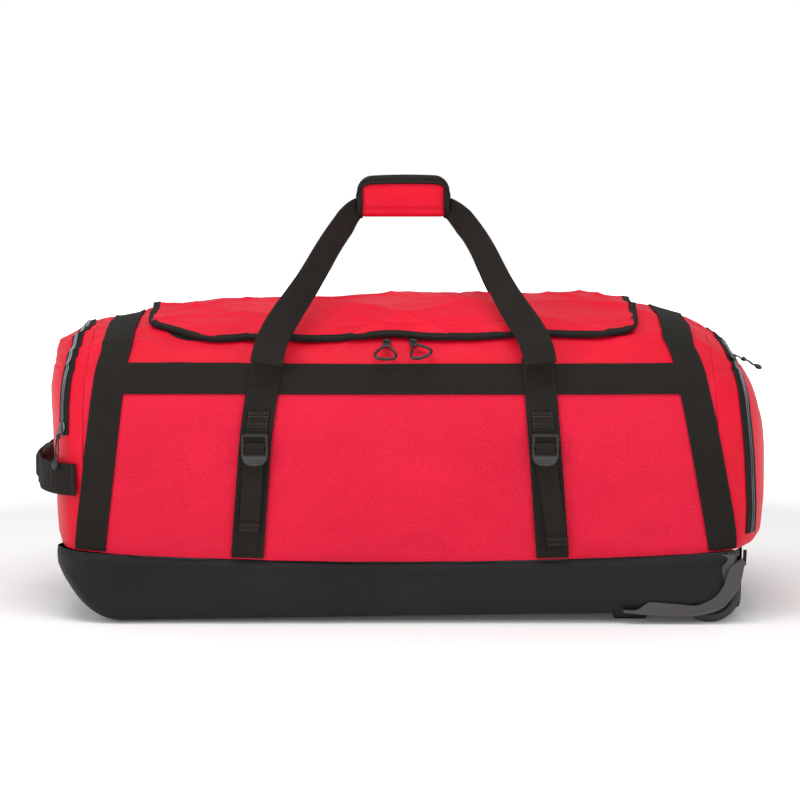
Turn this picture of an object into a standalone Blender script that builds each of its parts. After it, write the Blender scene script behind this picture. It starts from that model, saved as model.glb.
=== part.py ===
"""A wheeled duffel bag: soft body on a stiff base, lid with a U zip, webbing, wheels at the +X end."""
import bmesh
import bpy
import numpy as np

# Driving dimensions, in metres. +X is the wheel end, the front faces -Y, Z is up.
LEFT_TIP = 0.4315      # body's left end
RIGHT_TIP = 0.4490     # body's right end
LEFT_ROUND = 0.4360    # plan curve closes here
RIGHT_ROUND = 0.4540
PLAN_POWER = 16.0
HALF_DEPTH = 0.1970
CROWN_RISE = 0.3030    # base seam to the crown, mid length
CROWN_TILT = 0.0250    # the crown climbs this much per metre towards +X
SEAM_HEIGHT = 0.0750
SEAM_BOW = 0.0140
SEAM_REACH = 0.4300
FABRIC = 0.0030
SECTION_POWER = 6.0
SHOULDER_POWER = 0.50
BULGE = 0.030
SIDE_SHARE = 0.75      # part of the height that the side stations cover

SHELL_END = 0.3720     # main compartment's end walls
GAP = 0.0004
WEB_WIDE = 0.0380
WEB_NARROW = 0.0250
WEB_THICK = 0.0014
LAYER_1 = 0.0014       # first layer's stand-off from the skin
LAYER_2 = 0.0038
LAYER_3 = 0.0064
LAYER_4 = 0.0080

WHEEL_RADIUS = 0.0370
WHEEL_X = 0.3680
WHEEL_Y = 0.1650
WHEEL_WIDTH = 0.0240
WELL_RADIUS = 0.0415
AXLE_RADIUS = 0.0040
HUB_RADIUS = 0.0262
BASE_LEFT = 0.4280
BASE_RIGHT = 0.4180
TRAY_ENDS = (-0.4150, 0.4140)
BASE_HALF_DEPTH = 0.1900
BASE_CORNER = 0.0180

LID_X = (-0.3050, 0.2850)
LID_FRONT = -0.1480
LID_BACK = 0.1300
LID_THICK = 0.0026
LID_LIFT = 0.0026
BINDING = 0.0090
MOUTH_X = (-0.2720, 0.2520)
MOUTH_Y = (-0.1300, 0.1130)

HOOP_TOP = {-1.0: 0.3375, 1.0: 0.3320}       # hoop centre over the top, by side
HOOP_LEAN = {-1.0: 0.0295, 1.0: 0.0520}      # how much further out it stands at the base
HOOP_CURVE = {-1.0: 1.10, 1.0: 0.90}
SLIDER_X = 0.0155      # main zip sliders, either side of the middle
ROOT_HEIGHT = 0.3095   # where the carry straps leave the panels
STRAP_FOOT_X = 0.1800
STRAP_LEAN = 0.0180
STRAP_TURN = 0.0063
STRAP_TURN_Z = 0.2140
BUCKLE_Z = 0.2140
BUCKLE_HALF = 0.0155
WINDOW_HALF = 0.0127
WRAP_X = (-0.0535, 0.0615)
WRAP_Z = (0.4740, 0.5260)
HAUL_Z = 0.1720

COLOURS = {
    "red_cloth": ((0.85, 0.03, 0.07, 1.0), 0.75, 0.0),
    "webbing": ((0.030, 0.027, 0.024, 1.0), 0.80, 0.0),
    "charcoal_cloth": ((0.034, 0.030, 0.030, 1.0), 0.70, 0.0),
    "black_plastic": ((0.020, 0.020, 0.020, 1.0), 0.35, 0.0),
    "grey_plastic": ((0.080, 0.078, 0.077, 1.0), 0.45, 0.0),
    "tyre_rubber": ((0.045, 0.045, 0.045, 1.0), 0.65, 0.0),
    "zip_tape": ((0.020, 0.020, 0.020, 1.0), 0.70, 0.0),
    "gunmetal": ((0.120, 0.120, 0.120, 1.0), 0.30, 1.0),
    "steel": ((0.550, 0.550, 0.560, 1.0), 0.25, 1.0),
    "board": ((0.060, 0.060, 0.060, 1.0), 0.60, 0.0),
}

for old in list(bpy.data.objects):
    bpy.data.objects.remove(old, do_unlink=True)


def material(key):
    """The shared look for one kind of stuff."""
    made = bpy.data.materials.get(key)
    if made is None:
        colour, rough, metal = COLOURS[key]
        made = bpy.data.materials.new(key)
        made.use_nodes = True
        shader = made.node_tree.nodes["Principled BSDF"]
        shader.inputs["Base Color"].default_value = colour
        shader.inputs["Roughness"].default_value = rough
        shader.inputs["Metallic"].default_value = metal
        made.diffuse_color = colour
    return made


def add(name, verts, faces, key, origin=(0.0, 0.0, 0.0), smooth=True):
    """One closed object; its origin sits at the given point."""
    mesh = bpy.data.meshes.new(name)
    base = np.array(origin)
    mesh.from_pydata([tuple(np.array(v) - base) for v in verts], [], faces)
    work = bmesh.new()
    work.from_mesh(mesh)
    bmesh.ops.remove_doubles(work, verts=work.verts, dist=1e-6)
    bmesh.ops.recalc_face_normals(work, faces=work.faces)
    bmesh.ops.triangulate(work, faces=[f for f in work.faces if len(f.verts) > 4])
    work.to_mesh(mesh)
    work.free()
    for face in mesh.polygons:
        face.use_smooth = smooth
    obj = bpy.data.objects.new(name, mesh)
    obj.location = origin
    obj.data.materials.append(material(key))
    bpy.context.scene.collection.objects.link(obj)
    return obj


def cut(target, cutter, how="DIFFERENCE"):
    """Applies one Boolean and drops the tool."""
    step = target.modifiers.new("cut", "BOOLEAN")
    step.operation = how
    step.solver = "EXACT"
    step.object = cutter
    bpy.context.view_layer.update()
    graph = bpy.context.evaluated_depsgraph_get()
    result = bpy.data.meshes.new_from_object(target.evaluated_get(graph))
    target.modifiers.clear()
    target.data = result
    bpy.data.objects.remove(cutter, do_unlink=True)
    return target


# ---- the body's skin -------------------------------------------------------


def seam(x):
    return SEAM_HEIGHT + SEAM_BOW * (x / SEAM_REACH) ** 2


def crown(x):
    """Height of the body's top line: falls off gently on the left, faster on the right."""
    left = 0.21 * np.exp(-max(x + LEFT_ROUND, 0.0) / 0.075)
    right = 0.58 * np.exp(-((max(RIGHT_ROUND - 0.003 - x, 0.0) / 0.052) ** 0.75))
    return seam(x) + (CROWN_RISE + CROWN_TILT * x) * (1.0 - left) * (1.0 - right)


def half_depth(x):
    reach = RIGHT_ROUND if x > 0 else LEFT_ROUND
    share = min(abs(x) / reach, 0.9999)
    return HALF_DEPTH * np.sqrt(1.0 - share ** PLAN_POWER) * (1.0 - 0.02 * share ** 2)


def outline(v):
    """Half depth of a section at height share v, as a share of its greatest."""
    belly = 1.0 - BULGE * (1.0 - v / 0.5) ** 2 if v < 0.5 else 1.0
    return belly * (1.0 - v ** SECTION_POWER) ** SHOULDER_POWER


EDGE_SHARE = outline(SIDE_SHARE)


def skin(x, a):
    """Point on the body: a runs 0 at the front seam, 1 on the crown, 2 at the back seam."""
    side = -1.0 if a <= 1.0 else 1.0
    b = a if a <= 1.0 else 2.0 - a
    if b < 0.5:
        v = b / 0.5 * SIDE_SHARE
        y = half_depth(x) * outline(v)
    else:
        f = EDGE_SHARE * (1.0 - (b - 0.5) / 0.5)
        v = (1.0 - max(f, 0.0) ** (1.0 / SHOULDER_POWER)) ** (1.0 / SECTION_POWER)
        y = half_depth(x) * f
    return np.array([x, side * y, seam(x) + v * (crown(x) - seam(x))])


def normal(x, a):
    step_x = skin(min(x + 0.001, 0.4485), a) - skin(max(x - 0.001, -0.4310), a)
    step_a = skin(x, min(a + 0.01, 2.0)) - skin(x, max(a - 0.01, 0.0))
    n = np.cross(step_x, step_a)
    n /= np.linalg.norm(n)
    away = skin(x, a) - np.array([x * 0.9, 0.0, 0.20])
    return n if np.dot(n, away) > 0 else -n


def off(x, a, lift):
    return skin(x, a) + normal(x, a) * lift


def at_height(x, z, side):
    """The a of a side point at height z: side -1 front, +1 back."""
    v = (z - seam(x)) / (crown(x) - seam(x))
    if v < SIDE_SHARE:
        b = 0.5 * v / SIDE_SHARE
    else:
        b = 0.5 + 0.5 * (1.0 - (1.0 - min(v, 1.0) ** SECTION_POWER) ** SHOULDER_POWER / EDGE_SHARE)
    return b if side < 0 else 2.0 - b


def at_depth(x, y):
    """The a of a top point at depth y."""
    b = 0.5 + 0.5 * (1.0 - abs(y) / half_depth(x) / EDGE_SHARE)
    return b if y < 0 else 2.0 - b


# ---- builders --------------------------------------------------------------


def slab(name, low, high, key, origin=(0.0, 0.0, 0.0)):
    """A sheet with thickness: two matching grids of points and the walls between their rims."""
    low = np.array(low)
    high = np.array(high)
    rows, cols = low.shape[:2]
    verts = [tuple(p) for p in low.reshape(-1, 3)] + [tuple(p) for p in high.reshape(-1, 3)]
    top = rows * cols
    faces = []
    for i in range(rows - 1):
        for j in range(cols - 1):
            k = i * cols + j
            faces.append((k, k + 1, k + cols + 1, k + cols))
            faces.append((top + k, top + k + cols, top + k + cols + 1, top + k + 1))
    rim = [j for j in range(cols)]
    rim += [i * cols + cols - 1 for i in range(1, rows)]
    rim += [(rows - 1) * cols + j for j in range(cols - 2, -1, -1)]
    rim += [i * cols for i in range(rows - 2, 0, -1)]
    for k, here in enumerate(rim):
        after = rim[(k + 1) % len(rim)]
        faces.append((here, after, top + after, top + here))
    return add(name, verts, faces, key, origin)


def loft(name, rings, key):
    """Closed rings of equal count joined end to end, with flat ends."""
    count = len(rings[0])
    verts = [tuple(p) for ring in rings for p in ring]
    faces = []
    for i in range(len(rings) - 1):
        for j in range(count):
            k = (j + 1) % count
            here = i * count
            after = here + count
            faces.append((here + j, here + k, after + k, after + j))
    faces.append(tuple(range(count)))
    faces.append(tuple((len(rings) - 1) * count + j for j in range(count)))
    return add(name, verts, faces, key)


def prism(name, points, axis, start, end, key, origin=(0.0, 0.0, 0.0), smooth=False):
    """A flat outline pushed along one axis; the points hold the other two coordinates in order."""
    verts = []
    for at in (start, end):
        for p, q in points:
            verts.append({"x": (at, p, q), "y": (p, at, q), "z": (p, q, at)}[axis])
    n = len(points)
    faces = [tuple(range(n)), tuple(range(n, 2 * n))]
    faces += [(i, (i + 1) % n, n + (i + 1) % n, n + i) for i in range(n)]
    return add(name, verts, faces, key, origin, smooth)


def box(name, low, high, key, origin=(0.0, 0.0, 0.0)):
    outline_xy = [(low[0], low[1]), (high[0], low[1]), (high[0], high[1]), (low[0], high[1])]
    return prism(name, outline_xy, "z", low[2], high[2], key, origin)


def rounded(x0, x1, y0, y1, r, steps=4):
    """Rectangle outline with round corners."""
    points = []
    corners = (x1 - r, y1 - r, 0), (x0 + r, y1 - r, 90), (x0 + r, y0 + r, 180), (x1 - r, y0 + r, 270)
    for cx, cy, start in corners:
        for k in range(steps + 1):
            t = np.radians(start + 90.0 * k / steps)
            points.append((cx + r * np.cos(t), cy + r * np.sin(t)))
    return points


def turned(name, profile, centre, key, sides=28):
    """A ring about a Y axis from a closed profile of (radius, y)."""
    count = len(profile)
    verts = []
    for i in range(sides):
        t = 2.0 * np.pi * i / sides
        for r, y in profile:
            verts.append((centre[0] + r * np.cos(t), y, centre[2] + r * np.sin(t)))
    faces = []
    for i in range(sides):
        for j in range(count):
            k = (j + 1) % count
            m = (i + 1) % sides
            faces.append((i * count + j, i * count + k, m * count + k, m * count + j))
    return add(name, verts, faces, key, centre)


def rod(name, radius, y0, y1, centre, key, sides=24, origin=None):
    turns = [2 * np.pi * i / sides for i in range(sides)]
    circle = [(centre[0] + radius * np.cos(t), centre[2] + radius * np.sin(t)) for t in turns]
    return prism(name, circle, "y", y0, y1, key, origin or (0.0, 0.0, 0.0), True)


def skin_strip(name, stations, width, lift, key, across=3, origin=(0.0, 0.0, 0.0)):
    """Webbing laid on the skin along stations of (x, a), its width running along X."""
    low = []
    high = []
    for x, a in stations:
        xs = np.linspace(x - width / 2, x + width / 2, across)
        low.append([off(at, a, lift) for at in xs])
        high.append([off(at, a, lift + WEB_THICK) for at in xs])
    return slab(name, low, high, key, origin)


def ribbon(name, centres, widths, width, thick, key, origin):
    """Webbing in free space; each station has a centre and the direction of its width."""
    centres = np.array(centres)
    low = []
    high = []
    for i, c in enumerate(centres):
        along = centres[min(i + 1, len(centres) - 1)] - centres[max(i - 1, 0)]
        w = np.array(widths[i], float)
        w -= along * np.dot(w, along) / np.dot(along, along)
        w /= np.linalg.norm(w)
        n = np.cross(along, w)
        n /= np.linalg.norm(n)
        pair = (c - w * width / 2, c + w * width / 2)
        low.append([p - n * thick / 2 for p in pair])
        high.append([p + n * thick / 2 for p in pair])
    return slab(name, low, high, key, origin)


def side_name(side):
    return "front" if side < 0 else "back"


# ---- body, pockets ---------------------------------------------------------

STATIONS_A = np.linspace(0.0, 2.0, 33)


def body_ring(x, inset=0.0, drop=0.0):
    ring = []
    for a in STATIONS_A:
        p = skin(x, a)
        sink = inset * min(1.0, (p[2] - seam(x)) / 0.15)
        ring.append((p[0], p[1] * (1.0 - inset / HALF_DEPTH), p[2] - sink))
    if drop:
        ring.insert(0, (x, ring[0][1], seam(x) - drop))
        ring.append((x, ring[-1][1], seam(x) - drop))
    return ring


outer_x = np.linspace(-SHELL_END, SHELL_END, 15)
body = loft("body_shell", [body_ring(x) for x in outer_x], "red_cloth")
inner_x = np.linspace(-SHELL_END + FABRIC, SHELL_END - FABRIC, 15)
cut(body, loft("cavity", [body_ring(x, FABRIC, 0.02) for x in inner_x], "red_cloth"))
mouth = rounded(MOUTH_X[0], MOUTH_X[1], MOUTH_Y[0], MOUTH_Y[1], 0.035)
cut(body, prism("mouth", mouth, "z", 0.25, 0.50, "red_cloth"))


def pocket_rings(near, tip, sign):
    """Sections crowd towards the tip, where the plan curves in."""
    share = np.sin(np.linspace(0.0, np.pi / 2, 8))
    xs = sign * (near + (tip - near) * share)
    return [body_ring(x) for x in xs]


loft("pocket_left", pocket_rings(SHELL_END + GAP, LEFT_TIP, -1.0), "red_cloth")
loft("pocket_right", pocket_rings(SHELL_END + GAP, RIGHT_TIP, 1.0), "red_cloth")

# ---- base tray -------------------------------------------------------------


def base_bottom(x):
    rise = 0.0040 + max(x + 0.33, 0.0) * 0.017
    lead = max(-0.33 - x, 0.0) / 0.095
    return rise + 0.090 * lead ** 2.2


def base_half(x):
    if x < 0:
        return BASE_HALF_DEPTH * np.sqrt(1.0 - (abs(x) / BASE_LEFT) ** 20)
    return BASE_HALF_DEPTH * np.sqrt(1.0 - (x / BASE_RIGHT) ** 40)


def base_ring(x, station, inset=0.0, raise_top=0.0):
    """Section of the tray: seam, side, round corner, floor."""
    w = base_half(station) - inset
    low = base_bottom(station) + inset
    high = seam(station) - GAP + raise_top
    r = min(BASE_CORNER, 0.45 * (high - low))
    half = [(w * 0.995, high), (w, high - 0.35 * (high - low))]
    for k in range(5):
        t = np.radians(90.0 * k / 4)
        half.append((w - r + r * np.cos(t), low + r - r * np.sin(t)))
    ring = [(x, -y, z) for y, z in half] + [(x, 0.0, low)]
    ring += [(x, y, z) for y, z in reversed(half)]
    return ring


tray_left = np.linspace(TRAY_ENDS[0], -0.33, 7)
tray_middle = np.linspace(-0.28, 0.36, 9)
tray_right = np.linspace(0.385, TRAY_ENDS[1], 6)
tray_x = np.concatenate([tray_left, tray_middle, tray_right])
tray = loft("base_tray", [base_ring(x, x) for x in tray_x], "charcoal_cloth")
inner_ends = (TRAY_ENDS[0] + FABRIC, TRAY_ENDS[1] - FABRIC)
inner = [base_ring(np.clip(x, *inner_ends), x, FABRIC, 0.02) for x in tray_x]
cut(tray, loft("tray_inside", inner, "charcoal_cloth"))

# ---- wheels, housings, feet ------------------------------------------------


def s_edge():
    """The flange's upper edge: rises from the toe, runs level, then sweeps up round the corner."""
    toe = [(0.2640, 0.0176), (0.2790, 0.0172), (0.2900, 0.0245), (0.2965, 0.0268)]
    level = [(0.3340, 0.0238), (0.3504, 0.0226)]
    corner = (0.3455, 0.0640)
    sweep = []
    for k in range(5):
        t = np.radians(-62.0 + 56.0 * k / 4)
        sweep.append((corner[0] + 0.0405 * np.cos(t), corner[1] + 0.0405 * np.sin(t)))
    return toe + level + sweep + [(0.3885, 0.0668), (0.3930, 0.0710), (0.4040, 0.0790)]


def flange_low():
    """The flange's outer edge, back from the top corner to the toe."""
    corner = [(0.4050, 0.0740), (0.4000, 0.0485), (0.3962, 0.0400), (0.3831, 0.0235)]
    return corner + [(0.3585, 0.0135), (0.3422, 0.0112), (0.3000, 0.0125), (0.2640, 0.0155)]


def shrink(points, by):
    """The outline moved inwards, each corner along its own bisector."""
    ring = np.array(points)
    area = 0.5 * np.sum(ring[:, 0] * np.roll(ring[:, 1], -1) - np.roll(ring[:, 0], -1) * ring[:, 1])
    turn = 1.0 if area > 0 else -1.0
    out = []
    for i in range(len(ring)):
        a = ring[i] - ring[i - 1]
        b = ring[(i + 1) % len(ring)] - ring[i]
        na = np.array([-a[1], a[0]]) / np.linalg.norm(a)
        nb = np.array([-b[1], b[0]]) / np.linalg.norm(b)
        mid = na + nb
        out.append(tuple(ring[i] + turn * by * mid / max(np.dot(mid, na), 0.5)))
    return out


WELL = (0.3240, 0.3985, 0.0830)      # low x, high x, top
WELL_IN = WHEEL_Y - WHEEL_WIDTH / 2 - 0.0110
WELL_OUT = 0.1864
WELL_FLOOR = 0.0125
FLANGE_ROOT = 0.0030   # how far the flange plate runs in behind the box's outer face
FLANGE_FACE = 0.1925
WHEEL_CLEAR = 0.0030
TYRE_CHAMFER = 0.0045
DISH = 0.0060          # how deep the hub's faces are dished
BOSS = 0.0085
FOOT_Y = (0.1250, 0.1550)
flange_far = [(0.50, 0.0790), (0.50, -0.05), (0.2640, -0.05)]

for side in (-1.0, 1.0):
    tag = side_name(side)
    y0, y1 = sorted((side * (WELL_IN - GAP), side * 0.25))
    cut(tray, prism("corner_tool", s_edge() + flange_far, "y", y0, y1, "charcoal_cloth"))
    y0, y1 = sorted((side * (WELL_IN - GAP), side * (WELL_OUT + 0.0002)))
    low = (WELL[0] - GAP, y0, -0.05)
    high = (WELL[1] + 0.05, y1, WELL[2] + GAP)
    cut(tray, box("well_tool", low, high, "charcoal_cloth"))

    y0, y1 = sorted((side * WELL_IN, side * (WELL_OUT - GAP)))
    housing = box("housing_" + tag, (WELL[0], y0, WELL_FLOOR), (WELL[1], y1, WELL[2]), "grey_plastic")
    y0, y1 = sorted((side * (WELL_OUT - FLANGE_ROOT), side * FLANGE_FACE))
    flange = shrink(s_edge() + flange_low(), 0.0005)
    cut(housing, prism("flange_tool", flange, "y", y0, y1, "grey_plastic"), "UNION")
    slot_half = WHEEL_WIDTH / 2 + WHEEL_CLEAR
    y0, y1 = sorted((side * (WHEEL_Y - slot_half), side * (WHEEL_Y + slot_half)))
    centre = (WHEEL_X, 0.0, WHEEL_RADIUS)
    cut(housing, rod("wheel_room", WELL_RADIUS, y0, y1, centre, "grey_plastic", 32))
    low = (WHEEL_X - WELL_RADIUS * 0.97, y0, -0.02)
    cut(housing, box("wheel_way", low, (0.46, y1, WHEEL_RADIUS), "grey_plastic"))
    cut(housing, rod("axle_room", AXLE_RADIUS + GAP, side * 0.10, side * 0.22, centre, "grey_plastic"))

    hub_at = (WHEEL_X, side * WHEEL_Y, WHEEL_RADIUS)
    a = side * WHEEL_Y - WHEEL_WIDTH / 2
    b = side * WHEEL_Y + WHEEL_WIDTH / 2
    c = TYRE_CHAMFER
    r = WHEEL_RADIUS
    bead = HUB_RADIUS + 0.0003
    near = [(bead, a + 0.002), (r - c, a), (r - 0.001, a + c * 0.6), (r, a + c * 1.6)]
    far = [(r, b - c * 1.6), (r - 0.001, b - c * 0.6), (r - c, b), (bead, b - 0.002)]
    turned("tyre_" + tag, near + far, hub_at, "tyre_rubber", 32)
    bore = AXLE_RADIUS + 0.0003
    rim = HUB_RADIUS - 0.004
    near = [(bore, a - 0.0005), (BOSS, a - 0.0005), (BOSS + 0.0005, a + DISH), (rim, a + DISH)]
    far = [(rim, b - DISH), (BOSS + 0.0005, b - DISH), (BOSS, b + 0.0005), (bore, b + 0.0005)]
    near.append((HUB_RADIUS, a + 0.002))
    far.insert(0, (HUB_RADIUS, b - 0.002))
    turned("hub_" + tag, near + far, hub_at, "black_plastic", 20)
    y0 = side * (WELL_IN + 0.001)
    y1 = side * (WELL_OUT - 0.0006)
    rod("axle_" + tag, AXLE_RADIUS, y0, y1, centre, "steel", 20, hub_at)

    y0, y1 = sorted((side * FOOT_Y[0], side * FOOT_Y[1]))
    under = base_bottom(0.3000) - 0.0024
    box("skid_foot_" + tag, (0.2560, y0, 0.0), (0.2950, y1, under), "black_plastic")
    box("rest_foot_" + tag, (-0.3330, y0, 0.0), (-0.2950, y1, 0.0036), "black_plastic")

board_in = WELL_IN - 0.0040
box("base_board", (-0.3300, -board_in, 0.0210), (0.3150, board_in, 0.0240), "board")
for side in (-1.0, 1.0):
    stay = sorted((side * 0.0800, side * 0.1000))
    box("base_stay_" + side_name(side), (-0.3250, stay[0], 0.0244), (0.3100, stay[1], 0.0304), "board")

# ---- webbing on the panels -------------------------------------------------


def hoop_x(sign, a):
    """The hoops lean: wider apart at the base than over the top."""
    b = a if a <= 1.0 else 2.0 - a
    return sign * (HOOP_TOP[sign] + HOOP_LEAN[sign] * max(1.0 - b / 0.62, 0.0) ** HOOP_CURVE[sign])


for sign, tag in ((-1.0, "left"), (1.0, "right")):
    path = [(hoop_x(sign, a), a) for a in np.linspace(0.008, 1.992, 37)]
    skin_strip("hoop_" + tag, path, WEB_WIDE, LAYER_1, "webbing")

BAND_Z = (0.2745, 0.3070)


def band(side):
    low = []
    high = []
    for z in np.linspace(BAND_Z[0], BAND_Z[1], 3):
        low.append([])
        high.append([])
        for x in np.linspace(-1.0, 1.0, 25):
            end = -1.0 if x < 0.0 else 1.0
            reach = abs(hoop_x(end, at_height(0.33, z, -1.0))) - WEB_WIDE / 2 - 0.0008
            at = x * reach
            a = at_height(at, z, side)
            low[-1].append(off(at, a, LAYER_1))
            high[-1].append(off(at, a, LAYER_1 + WEB_THICK))
    slab("band_" + side_name(side), low, high, "webbing")


def strap_x(sign, z):
    """The straps lean inwards as they rise; the left one turns in more towards its carry loop."""
    lean = STRAP_LEAN * (z - 0.078) / 0.232
    turn = STRAP_TURN * max((z - STRAP_TURN_Z) / (ROOT_HEIGHT - STRAP_TURN_Z), 0.0) ** 1.5
    return sign * (STRAP_FOOT_X - lean - (turn if sign < 0 else 0.0))


def panel_strip(name, sign, side, z_low, z_high, width, lift, rows):
    low = []
    high = []
    for z in z_high - (z_high - z_low) * np.linspace(0.0, 1.0, rows) ** 1.6:
        x = strap_x(sign, z)
        a = at_height(x, z, side)
        low.append([off(x - width / 2, a, lift), off(x + width / 2, a, lift)])
        high.append([off(x - width / 2, a, lift + WEB_THICK), off(x + width / 2, a, lift + WEB_THICK)])
    return slab(name, low, high, "webbing")


def tail(name, sign, side, z_end):
    """Adjusting strap: up from the seam, over the buckle's bar and hanging down again."""
    zs_up = np.linspace(0.0850, BUCKLE_Z - 0.004, 7)
    zs_down = np.linspace(BUCKLE_Z - 0.006, z_end, 5)
    path = [(z, LAYER_3) for z in zs_up] + [(BUCKLE_Z, LAYER_3 + 0.001), (BUCKLE_Z, LAYER_3 + 0.0035)]
    path += [(z, LAYER_3 + 0.0042) for z in zs_down]
    low = []
    high = []
    for i, (z, lift) in enumerate(path):
        x = strap_x(sign, z)
        a = at_height(x, z, side)
        p = off(x, a, lift)
        ahead = path[min(i + 1, len(path) - 1)]
        behind = path[max(i - 1, 0)]
        d = np.array([ahead[0] - behind[0], ahead[1] - behind[1]])
        d /= np.linalg.norm(d)
        n = np.array([0.0, side * d[0], -d[1]]) * WEB_THICK / 2
        half = np.array([WEB_NARROW / 2, 0.0, 0.0])
        low.append([p - half - n, p + half - n])
        high.append([p - half + n, p + half + n])
    slab(name, low, high, "webbing")


def buckle(name, sign, side):
    """Ladder-lock: a frame with two windows and a round thumb tab below."""
    x = strap_x(sign, BUCKLE_Z)
    y = off(x, at_height(x, BUCKLE_Z, side), LAYER_4 + 0.0042)[1]
    y0, y1 = sorted((y, y + side * 0.0038))
    pivot = (x, y, BUCKLE_Z + 0.0140)
    plate = rounded(x - BUCKLE_HALF, x + BUCKLE_HALF, BUCKLE_Z - 0.0140, BUCKLE_Z + 0.0150, 0.0030, 3)
    frame = prism(name, plate, "y", y0, y1, "black_plastic", pivot)
    turns = np.linspace(0, -np.pi, 9)
    lip = [(x + 0.0105 * np.cos(t), BUCKLE_Z - 0.0135 + 0.0085 * np.sin(t)) for t in turns]
    cut(frame, prism("tab_tool", lip, "y", y0 + 0.0004, y1 - 0.0004, "black_plastic"), "UNION")
    for z0, z1 in ((BUCKLE_Z - 0.0095, BUCKLE_Z - 0.0010), (BUCKLE_Z + 0.0030, BUCKLE_Z + 0.0115)):
        low = (x - WINDOW_HALF, y0 - 0.01, z0)
        high = (x + WINDOW_HALF, y1 + 0.01, z1)
        cut(frame, box("window_tool", low, high, "black_plastic"))


for side in (-1.0, 1.0):
    band(side)
    for sign in (-1.0, 1.0):
        tag = side_name(side) + ("_left" if sign < 0 else "_right")
        panel_strip("strap_" + tag, sign, side, 0.0825, ROOT_HEIGHT - 0.0005, WEB_WIDE, LAYER_2, 12)
        panel_strip("anchor_" + tag, sign, side, BUCKLE_Z + 0.0040, 0.2530, WEB_NARROW, LAYER_3, 4)
        tail("tail_" + tag, sign, side, 0.1250 if sign < 0 else 0.1130)
        buckle("buckle_" + tag, sign, side)

# ---- lid, its binding and the main zip -------------------------------------


def lid_front(x, inset=0.0):
    """Front edge: a long clipped corner on the left, a short one on the right."""
    left = max(-0.235 - x, 0.0) * 0.80
    right = max(x - 0.262, 0.0) * 1.1
    return LID_FRONT + inset + left + right


LID_STATIONS = sorted(list(np.linspace(-0.285, 0.255, 14)) + [-0.2350, 0.2620])


def lid_grid(inset, lift, cols=13):
    """Rows across the lid; columns crowd towards the front, where the top bends down."""
    grid = []
    for x in [LID_X[0] + inset] + LID_STATIONS + [LID_X[1] - inset]:
        a0 = at_depth(x, lid_front(x, inset))
        a1 = at_depth(x, LID_BACK)
        grid.append([off(x, a0 + (a1 - a0) * s ** 1.25, lift) for s in np.linspace(0.0, 1.0, cols)])
    return grid


hinge_y = LID_BACK + 0.002
hinge_z = float(skin(0.0, at_depth(0.0, LID_BACK))[2] + LID_LIFT)
LID_PIVOT = (0.0, hinge_y, hinge_z)
edge = BINDING + 0.0006
slab(
    "lid_panel",
    lid_grid(edge, LID_LIFT),
    lid_grid(edge, LID_LIFT + LID_THICK),
    "red_cloth",
    LID_PIVOT,
)


def rim_path(inset, count=8):
    """The lid's free edge from back left, round the front, to back right, moved inwards."""
    x0 = LID_X[0] + inset
    x1 = LID_X[1] - inset
    left = [(x0, y) for y in np.linspace(LID_BACK, lid_front(x0, inset), count)]
    front = [(x, lid_front(x, inset)) for x in LID_STATIONS]
    right = [(x1, y) for y in np.linspace(lid_front(x1, inset), LID_BACK, count)]
    return left + front + right


def rim_slab(name, paths, lifts, key, origin):
    low = [[off(x, at_depth(x, y), lifts[0]) for x, y in path] for path in paths]
    high = [[off(x, at_depth(x, y), lifts[1]) for x, y in path] for path in paths]
    return slab(name, low, high, key, origin)


rim_slab(
    "lid_binding",
    [rim_path(s) for s in (0.0, BINDING * 0.5, BINDING)],
    (LID_LIFT - 0.0002, LID_LIFT + LID_THICK + 0.0003),
    "webbing",
    LID_PIVOT,
)


def mouth_path(grow, count=9):
    """A U round the mouth's left, front and right, grown outwards."""
    x0 = MOUTH_X[0] - grow
    x1 = MOUTH_X[1] + grow
    y0 = MOUTH_Y[0] - grow
    r = 0.035 + grow
    left = [(x0, y) for y in np.linspace(MOUTH_Y[1] - 0.010, y0 + r, count)]
    turn = np.linspace(0.0, np.pi / 2, 6)[1:-1]
    corner_l = [(x0 + r - r * np.cos(t), y0 + r - r * np.sin(t)) for t in turn]
    front = [(x, y0) for x in np.linspace(x0 + r, x1 - r, 21)]
    corner_r = [(x1 - r + r * np.sin(t), y0 + r - r * np.cos(t)) for t in turn]
    right = [(x1, y) for y in np.linspace(y0 + r, MOUTH_Y[1] - 0.010, count)]
    return left + corner_l + front + corner_r + right


body_side = [mouth_path(0.0110), mouth_path(0.0005)]
lid_side = [mouth_path(-0.0005), mouth_path(-0.0110)]
rim_slab("zip_tape_body", body_side, (0.0003, 0.0008), "zip_tape", (0.0, 0.0, 0.0))
rim_slab("zip_tape_lid", lid_side, (0.0003, 0.0011), "zip_tape", LID_PIVOT)

SLIDER_Y = LID_FRONT - 0.0065


def arrow(name, points, origin, push, key):
    """A flat outline in X and slope direction, given thickness outwards from the skin."""
    low = []
    high = []
    for row in points:
        low.append([origin + p for p in row])
        high.append([origin + p + push for p in row])
    return slab(name, low, high, key, tuple(origin))


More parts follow.
